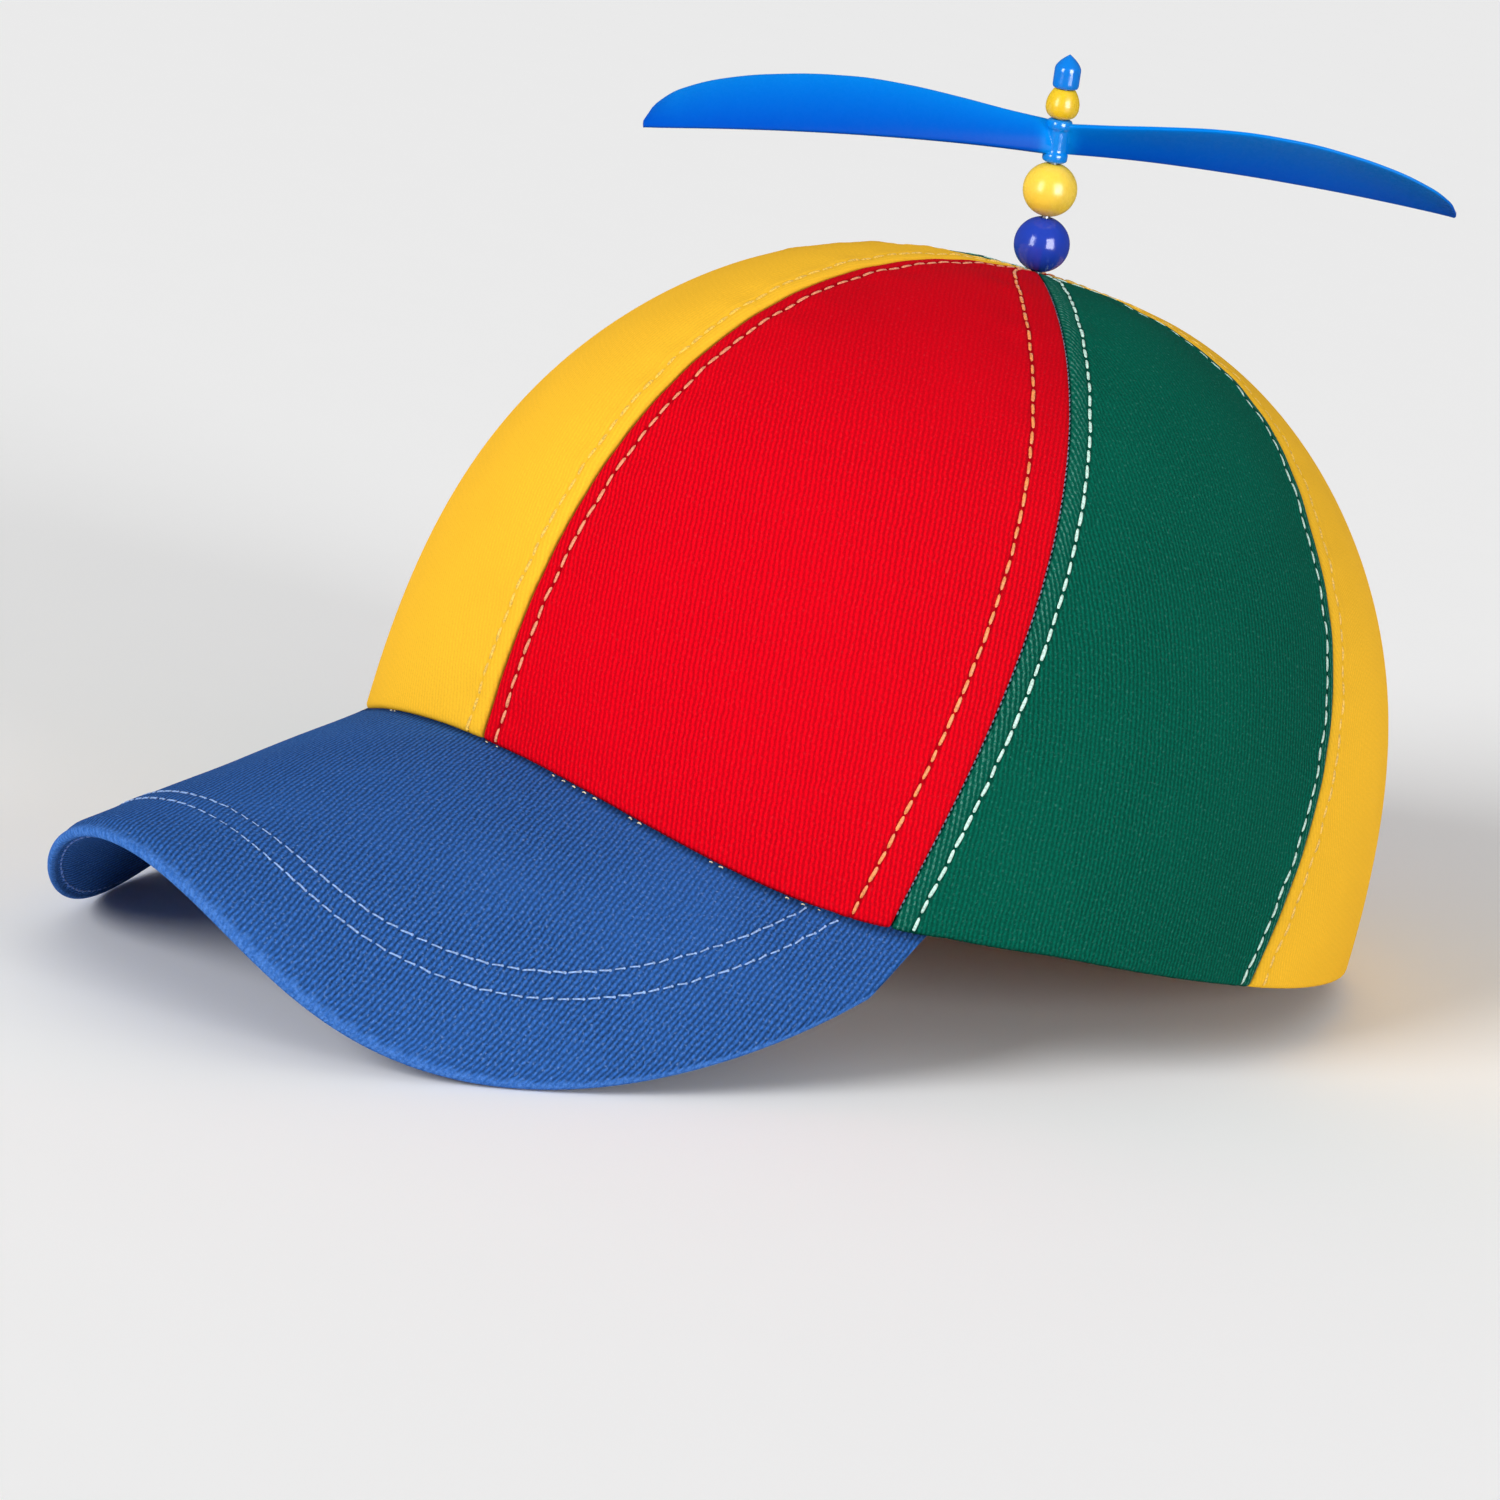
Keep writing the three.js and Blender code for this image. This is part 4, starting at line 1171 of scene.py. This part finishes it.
class CAP_OT_stitches(bpy.types.Operator):
    """Sews the rows of stitches beside the crown's seams and round the visor"""

    bl_idname = "cap.stitches"
    bl_label = "Stitches"

    def execute(self, context):
        paint, sewing = context.scene.cap_colours, context.scene.cap_stitches
        rows = {"salmon": [], "orange": [], "mint": [], "yellow": []}
        for name, panel in panel_surfaces().items():
            for end in (0, 1):
                thread = {"green": "mint", "yellow": "yellow", "red": "orange"}[panel.kind]
                if name == "panel_front_left" and end == 0:
                    thread = "salmon"
                rows[thread].append(panel.row_of_stitches(end))
        for thread, lines in rows.items():
            tint = getattr(paint, thread + "_thread")
            finish = material(f"{thread.capitalize()} thread", sewing_thread, tint)
            piece = sew(f"stitches_{thread}", lines, finish, sewing.dash, sewing.gap, sewing.width)
            slot = {"mint": "green_twill", "yellow": "yellow_twill"}.get(thread, "red_twill")
            keep(piece, "cap", [])
        visor = (sewing.visor_dash, sewing.visor_gap, sewing.visor_width, sewing.knot, 2.2)
        seams = (sewing.seam_dash, sewing.seam_gap, sewing.seam_width, 0.0, 3, 4, 5)
        tacks = (sewing.tack_dash, sewing.tack_gap, sewing.tack_width, 0.0, 5, 5, 6)
        others = (
            ("visor", "Pale blue", paint.blue_thread, self.visor_rows(context), visor, "blue_twill"),
            ("visor_below", "Blue", paint.below_thread, self.row_below(context), visor, "blue_twill"),
            ("seams", "Grey", paint.grey_thread, self.seam_rows(context), seams, "green_twill"),
            ("tacks", "Cream", paint.cream_thread, self.tack_runs(), tacks, "blue_twill"),
        )
        for group, hue, tint, lines, facts, slot in others:
            finish = material(hue + " thread", sewing_thread, tint)
            keep(sew("stitches_" + group, lines, finish, *facts), "cap", [])
        return {"FINISHED"}

    def seam_rows(self, context):
        """The thread that shows in the seams at both edges of the side panels."""
        rise = np.linspace(*SEAM_THREAD_SPAN, 300)
        lines = []
        for seam in ("fore", "rear"):
            for side in (1, -1):
                angle = side * seam_angle(seam, rise)
                line = crown_point(angle, rise)
                normal = np.cross(np.gradient(line, axis=0), crown_point(angle + 0.01, rise) - line)
                normal /= np.linalg.norm(normal, axis=1, keepdims=True)
                normal *= np.sign(np.sum(normal * (line - (0, 0, CROWN_HEIGHT / 3)), axis=1)).mean()
                lines.append((line - normal * context.scene.cap_cloth.seam_sink * 700, normal))
        return lines

    def tack_runs(self):
        """The few stitches that show where the crown meets the visor."""
        runs = []
        for start, end in TACKS:
            x, y = rim_at(np.linspace(start, end, 20) * VISOR_REACH, -TACK_OUTSIDE)
            across, down, _ = visor_below(x, y)
            line = visor_point(across, down, -TACK_HEIGHT)
            runs.append((line, line - visor_point(across, down, 1)))
        return runs

    def visor_rows(self, context):
        """The two rows on top, as far as the crown."""
        lines = []
        for flat in rows_on_top(context.scene.cap_stitches):
            line = visor_point(flat[:, 0], flat[:, 1], -ROW_HEIGHT)
            aside, ahead = line[:, 0] / (RIM_SIDE + ROW_OUTSIDE), line[:, 1] / (RIM_FRONT + ROW_OUTSIDE)
            clear = aside**2 + ahead**2 > 1
            above = line - visor_point(flat[:, 0], flat[:, 1], 1)
            lines.append((line[clear], above[clear]))
        return lines

    def row_below(self, context):
        """The row on the underside, just inside the edge."""
        sewing, cloth = context.scene.cap_stitches, context.scene.cap_cloth
        along = np.linspace(-BELOW_SPAN, BELOW_SPAN, 401)
        flat = visor_row(np.full(len(along), sewing.under_row * 1000), along)
        depth = cloth.visor_thickness * 1000 - visor_shaved(cloth, sewing.under_row * 1000)
        line = visor_point(flat[:, 0], flat[:, 1], depth + BELOW_HEIGHT)
        return [(line, line - visor_point(flat[:, 0], flat[:, 1], depth - 1))]


# Stack and propeller


def stack_heights():
    lower = (LOWER_BEAD_RADIUS + STACK_GAP) / math.cos(SPINDLE_LEAN)
    upper = lower + LOWER_BEAD_RADIUS + STACK_GAP + UPPER_BEAD_RADIUS
    hub = upper + UPPER_BEAD_RADIUS + STACK_GAP
    small = hub + HUB_HEIGHT + STACK_GAP
    return lower, upper, hub, small, small + SMALL_BEAD_HEIGHT + STACK_GAP


def bead_profile(radius):
    """A round bead whose bore has softly rounded mouths."""
    lip = 0.35
    flat = math.acos((BORE_RADIUS + lip) / radius)
    angles = np.linspace(-flat, flat, 41)
    ball = [(radius * math.cos(a), radius * math.sin(a)) for a in angles]
    mouth = ball[-1][1] - lip * 0.6
    return [(BORE_RADIUS, -mouth), *ball, (BORE_RADIUS, mouth)]


def pear_profile():
    """A bead that is widest below its middle and narrows to a short neck."""
    heights = (0, 0.03, 0.09, 0.2, 0.33, 0.47, 0.62, 0.76, 0.88, 0.96, 1)
    radii = (0.5, 0.64, 0.79, 0.92, 0.99, 1, 0.96, 0.87, 0.76, 0.67, 0.58)
    fine = np.linspace(0, 1, 41)
    outline = smooth_curve(fine, heights, radii) * SMALL_BEAD_RADIUS
    top = (BORE_RADIUS, SMALL_BEAD_HEIGHT - 0.1)
    return [(BORE_RADIUS, 0.1), *zip(outline, fine * SMALL_BEAD_HEIGHT), top]


def finial_profile():
    """A short cylinder with a pointed top, a thin foot ring and a socket for the spindle."""
    shoulder = FINIAL_HEIGHT - FINIAL_POINT
    socket = FINIAL_HEIGHT - 2.5
    rounding = ((0.45, 0), (0.2, 0.12), (0.05, 0.4))
    foot = [(BORE_RADIUS, 0), *((FINIAL_RADIUS - inward, height) for inward, height in rounding)]
    side = [(FINIAL_RADIUS, height) for height in np.linspace(0.7, shoulder - 0.3, 8)]
    rise = np.linspace(0, 1, 16)
    point = [(FINIAL_RADIUS * (1 - s**1.7), shoulder + FINIAL_POINT * s) for s in rise]
    tip = [(0, FINIAL_HEIGHT)]
    return [(0, socket), (BORE_RADIUS, socket), *foot, *side, *point[:-1], *tip]


class CAP_OT_beads(bpy.types.Operator):
    """Turns the beads and the pointed finial, and finishes the spindle that carries them"""

    bl_idname = "cap.beads"
    bl_label = "Beads and finial"

    def execute(self, context):
        lower, upper, _, small, finial = stack_heights()
        turned = (
            ("bead_lower", bead_profile(LOWER_BEAD_RADIUS), lower, "deep_blue_plastic", 0),
            ("bead_upper", bead_profile(UPPER_BEAD_RADIUS), upper, "yellow_plastic", 0),
            ("bead_small", pear_profile(), small, "yellow_plastic", 1),
            ("finial", finial_profile(), finial, "blue_plastic", FINIAL_DEPTH),
        )
        for node, profile, height, slot, depth in turned:
            points, faces = turned_body(profile)
            place = from_stack(np.array(points) + (0, 0, height))
            piece = recalculated(new_object(node + "_moulded", place, faces))
            finish_mesh(piece, plastic(slot), 40)
            add_layer(piece, "depth", np.full(len(piece.data.vertices), depth))
            keep(piece, "cap", [node])
        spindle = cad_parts["spindle"]
        for slot in spindle.material_slots:
            slot.material = material("Drawn steel", drawn_steel)
        return {"FINISHED"}


BLADE_ROWS = 84
BLADE_RING = 44
BLADE_THICKNESS = 1.6
BLADE_TIP_THICKNESS = 0.95
BLADE_CAMBER = 0.9
# How the painted shade on the blades is laid out: bands along each blade, how it bends, where it starts by
# the hub and where it stops by the tip
SHADE_BANDS = 40
SHADE_BEND = 0.45
SHADE_START = (0.025, 0.06)
SHADE_END = 0.93
HUB_GLOSS_PAST = 0.2
BLADE_SQUARENESS = 0.45


def blade_rings():
    """Closed sections of one blade, from inside the hub to its tip."""
    out = lerp(BLADE_OUT[0], 1, np.linspace(0, 1, BLADE_ROWS) ** 0.9)[:, None]
    wide = smooth_curve(out, BLADE_OUT, BLADE_WIDTHS)
    tilt = np.radians(smooth_curve(out, BLADE_OUT, BLADE_PITCHES))
    thick = lerp(BLADE_THICKNESS, BLADE_TIP_THICKNESS, out)
    around = np.linspace(0, 2 * math.pi, BLADE_RING, endpoint=False)[None, :]
    share_across = 0.5 - 0.5 * np.cos(around)
    chord = BLADE_CHORD * wide
    along = share_across * chord - BLADE_TRAIL * (1 - out) - BLADE_TRAIL_SHARE * chord
    fat = thick * np.sign(np.sin(around)) * np.abs(np.sin(around)) ** BLADE_SQUARENESS / 2
    bow = BLADE_CAMBER * 4 * share_across * (1 - share_across) * wide + fat
    x = np.broadcast_to(out * BLADE_LENGTH, along.shape)
    y = np.sin(tilt) * bow - np.cos(tilt) * along
    z = np.sin(tilt) * along + np.cos(tilt) * bow - BLADE_DROOP * out**2 + HUB_HEIGHT / 2
    return np.stack([x, y, z], -1)


def hub_profile():
    """Two collars with a waist between them."""
    heights = np.linspace(0, HUB_HEIGHT, 33)
    middle = np.abs(heights - HUB_HEIGHT / 2)
    waist = smoothstep(HUB_HEIGHT / 2 - HUB_COLLAR - 0.5, HUB_HEIGHT / 2 - HUB_COLLAR + 0.2, middle)
    radius = lerp(HUB_WAIST, HUB_RADIUS, waist)
    radius = radius - 0.55 * rounded(HUB_HEIGHT / 2 - middle, 0.7)
    return [(BORE_RADIUS, 0), *zip(radius, heights), (BORE_RADIUS, HUB_HEIGHT)]


class CAP_OT_propeller(bpy.types.Operator):
    """Moulds the hub and its two twisted blades as one body"""

    bl_idname = "cap.propeller"
    bl_label = "Propeller"

    def execute(self, context):
        piece = self.moulding("propeller_moulded", *turned_body(hub_profile(), 48))
        blades = [self.moulding("blade", *self.blade(turn)) for turn in (1, -1)]
        for blade in blades:
            join = piece.modifiers.new("Join", "BOOLEAN")
            join.operation, join.solver, join.object = "UNION", "EXACT", blade
        baked(piece)
        for blade in blades:
            mesh = blade.data
            bpy.data.objects.remove(blade)
            bpy.data.meshes.remove(mesh)
        finish_mesh(piece, plastic("satin_blue_plastic"), 80)
        height, out = self.place_on_blades(piece)
        # Painted shade: each blade darkens from its upper edge down to its lower one
        add_layer(piece, "depth", self.painted_blade_shade(height, out / BLADE_LENGTH))
        piece.data.materials.append(plastic("blue_plastic"))
        on_hub = out < HUB_RADIUS + HUB_GLOSS_PAST
        for face in piece.data.polygons:
            face.material_index = int(on_hub[list(face.vertices)].all())
        keep(piece, "rotor", ["propeller"])
        return {"FINISHED"}

    def blade(self, turn):
        """One blade's points and faces: turn is 1 for the first blade and -1 for the opposite one."""
        rings = blade_rings() * (turn, turn, 1)
        rows, ring = rings.shape[:2]
        number = np.arange(rows * ring).reshape(rows, ring)
        after = np.roll(number, -1, axis=1)
        faces = np.stack([number[:-1], after[:-1], after[1:], number[1:]], -1).reshape(-1, 4).tolist()
        return rings.reshape(-1, 3), faces + [number[0].tolist(), number[-1, ::-1].tolist()]

    def moulding(self, name, points, faces):
        """A closed body drawn round the hub's own foot, turned and set where the propeller stands."""
        points = np.asarray(points, float)
        cos, sin = math.cos(PROPELLER_TURN), math.sin(PROPELLER_TURN)
        x, y, z = points[:, 0], points[:, 1], points[:, 2]
        placed = np.stack([cos * x - sin * y, sin * x + cos * y, z + stack_heights()[2]], -1)
        return recalculated(new_object(name, from_stack(placed), faces))

    def place_on_blades(self, piece):
        """How high each point is above the hub's middle, and how far out from the spindle."""
        place = np.empty(3 * len(piece.data.vertices))
        piece.data.vertices.foreach_get("co", place)
        hub_middle = (0, 0, stack_heights()[2] + HUB_HEIGHT / 2)
        middle, along, upward = from_stack([hub_middle, (0, 1, 0), (0, 0, 1)])
        base = from_stack((0, 0, 0))
        offset = place.reshape(-1, 3) - middle
        height = offset @ ((upward - base) * 1e6)
        forward = offset @ ((along - base) * 1e6)
        return height, np.hypot(offset[:, 0] * 1000, forward)

    def painted_blade_shade(self, height, out):
        """Painted shade on the blades, from 0 along each blade's upper edge to 1 along its lower edge."""
        band = np.clip((out * SHADE_BANDS).astype(int), 0, SHADE_BANDS)
        lowest, highest = np.full(SHADE_BANDS + 1, np.inf), np.full(SHADE_BANDS + 1, -np.inf)
        np.minimum.at(lowest, band, height)
        np.maximum.at(highest, band, height)
        middles = (np.arange(SHADE_BANDS + 1) + 0.5) / SHADE_BANDS
        low, high = (np.interp(np.minimum(out, SHADE_END), middles, level) for level in (lowest, highest))
        share = np.clip((high - height) / (high - low), 0, 1)
        return share**SHADE_BEND * smoothstep(*SHADE_START, out)


# Stage


def soft_light(name, way, spread, strength):
    """A broad, distant light, so that the whole floor is lit alike."""
    lamp = bpy.data.lights.new(name, "SUN")
    lamp.angle = spread
    lamp.energy = strength
    holder = bpy.data.objects.new(name, lamp)
    holder.location = way * 2
    holder.rotation_mode = "QUATERNION"
    holder.rotation_quaternion = way.to_track_quat("Z", "Y")
    holder.visible_glossy = False
    bpy.context.scene.collection.objects.link(holder)


# Each softbox's width and height, how high it stands, its share of the brightness and its tint
SOFTBOXES = {
    "Left softbox": ((0.14, 0.3), 0.24, 1, (0.95, 0.98, 1)),
    "Right softbox": ((0.26, 0.34), 0.25, 1.3, (0.92, 0.9, 1)),
}
SOFTBOX_AWAY = 0.45
SPINDLE_PLACE = 0.056
FLOOR_REACH = 12


def shine(name, way, brightness):
    """An upright softbox beside the spindle that only glossy surfaces mirror."""
    size, height, part, tint = SOFTBOXES[name]
    lamp = bpy.data.lights.new(name, "AREA")
    lamp.shape = "RECTANGLE"
    lamp.size, lamp.size_y = size
    lamp.energy = brightness * part * math.pi * size[0] * size[1]
    lamp.color = tint
    holder = bpy.data.objects.new(name, lamp)
    holder.location = Vector((0, SPINDLE_PLACE, height)) + way * SOFTBOX_AWAY
    holder.rotation_mode = "QUATERNION"
    holder.rotation_quaternion = way.to_track_quat("Z", "Y")
    holder.visible_diffuse = False
    bpy.context.scene.collection.objects.link(holder)


def bearing(azimuth, elevation):
    """The way from the cap to a place at a given azimuth and height."""
    flat = math.cos(elevation)
    return Vector((math.sin(azimuth) * flat, -math.cos(azimuth) * flat, math.sin(elevation)))


class CAP_OT_stage(bpy.types.Operator):
    """Sets the camera, the pale floor and the soft studio light"""

    bl_idname = "cap.stage"
    bl_label = "Camera, floor and light"

    def execute(self, context):
        scene, stage = context.scene, context.scene.cap_stage
        back = bearing(stage.azimuth, stage.elevation)
        level = Vector((math.cos(stage.azimuth), math.sin(stage.azimuth), 0))
        upward = back.cross(level)
        right = level * math.cos(stage.roll) + upward * math.sin(stage.roll)
        upright = upward * math.cos(stage.roll) - level * math.sin(stage.roll)
        lens = bpy.data.cameras.new("Camera")
        lens.lens, lens.sensor_width = stage.lens, 36
        lens.clip_start, lens.clip_end = 0.05, 60
        camera = bpy.data.objects.new("Camera", lens)
        scene.collection.objects.link(camera)
        turned = Matrix((right, upright, back)).transposed().to_4x4()
        camera.matrix_world = Matrix.Translation(Vector(stage.target) + back * stage.distance) @ turned
        scene.camera = camera
        key_way = bearing(stage.azimuth - stage.key_aside, stage.key_height)
        fill_way = bearing(stage.azimuth + stage.fill_aside, stage.fill_height)
        soft_light("Key", key_way, stage.spread, stage.key)
        soft_light("Fill", fill_way, stage.spread, stage.fill)
        left = bearing(stage.azimuth - stage.left_shine, 0)
        right = bearing(stage.azimuth + stage.right_shine, 0)
        shine("Left softbox", left, stage.shine)
        shine("Right softbox", right, stage.shine)
        self.light_room(scene, stage)
        reach = FLOOR_REACH
        corners = [(-reach, -reach, 0), (reach, -reach, 0), (reach, reach, 0), (-reach, reach, 0)]
        floor = new_object("floor", corners, [(0, 1, 2, 3)])
        floor.data.materials.append(material("Studio paper", studio_paper, (0.985, 0.985, 0.985)))
        floor.visible_glossy = False
        scene.view_settings.view_transform = "Standard"
        scene.view_settings.look = "None"
        return {"FINISHED"}

    def light_room(self, scene, stage):
        """Even light from all round, dim in the plastic, and in the floor's tone behind the floor."""
        world = bpy.data.worlds.new("Studio")
        world.use_nodes = True
        scene.world = world
        tree = world.node_tree
        tree.nodes.clear()
        output = tree.nodes.new("ShaderNodeOutputWorld")
        path = tree.nodes.new("ShaderNodeLightPath")
        light = self.background(tree, stage.daylight)
        for ray, strength in (("Is Glossy Ray", stage.mirrored), ("Is Camera Ray", stage.backdrop)):
            choice = tree.nodes.new("ShaderNodeMixShader")
            tree.links.new(path.outputs[ray], choice.inputs[0])
            tree.links.new(light, choice.inputs[1])
            tree.links.new(self.background(tree, strength), choice.inputs[2])
            light = choice.outputs[0]
        tree.links.new(light, output.inputs["Surface"])

    def background(self, tree, strength):
        node = tree.nodes.new("ShaderNodeBackground")
        node.inputs["Color"].default_value = (1, 1, 1, 1)
        node.inputs["Strength"].default_value = strength
        return node.outputs[0]


class VIEW3D_PT_cap(bpy.types.Panel):
    """Lists the cap's pieces and what can be changed"""

    bl_label = "Propeller cap"
    bl_space_type = "VIEW_3D"
    bl_region_type = "UI"
    bl_category = "Propeller cap"

    def draw(self, context):
        for operator in OPERATORS:
            self.layout.operator(operator.bl_idname)
        for group in GROUPS:
            box = self.layout.box()
            for name in GROUPS[group].__annotations__:
                box.prop(getattr(context.scene, group), name)


OPERATORS = (CAP_OT_stage, CAP_OT_crown, CAP_OT_visor, CAP_OT_stitches, CAP_OT_beads, CAP_OT_propeller)
GROUPS = {
    "cap_cloth": CapCloth,
    "cap_colours": CapColours,
    "cap_stitches": CapStitches,
    "cap_stage": CapStage,
}


def register():
    for group in GROUPS.values():
        bpy.utils.register_class(group)
    for name, group in GROUPS.items():
        setattr(bpy.types.Scene, name, PointerProperty(type=group))
    for operator in (*OPERATORS, VIEW3D_PT_cap):
        bpy.utils.register_class(operator)


def unregister():
    for operator in reversed((*OPERATORS, VIEW3D_PT_cap)):
        bpy.utils.unregister_class(operator)
    for name, group in GROUPS.items():
        delattr(bpy.types.Scene, name)
        bpy.utils.unregister_class(group)


def main():
    register()
    bpy.ops.cap.stage()
    bpy.ops.cap.crown()
    bpy.ops.cap.visor()
    bpy.ops.cap.stitches()
    bpy.ops.cap.beads()
    bpy.ops.cap.propeller()


if __name__ == "__main__":
    main()
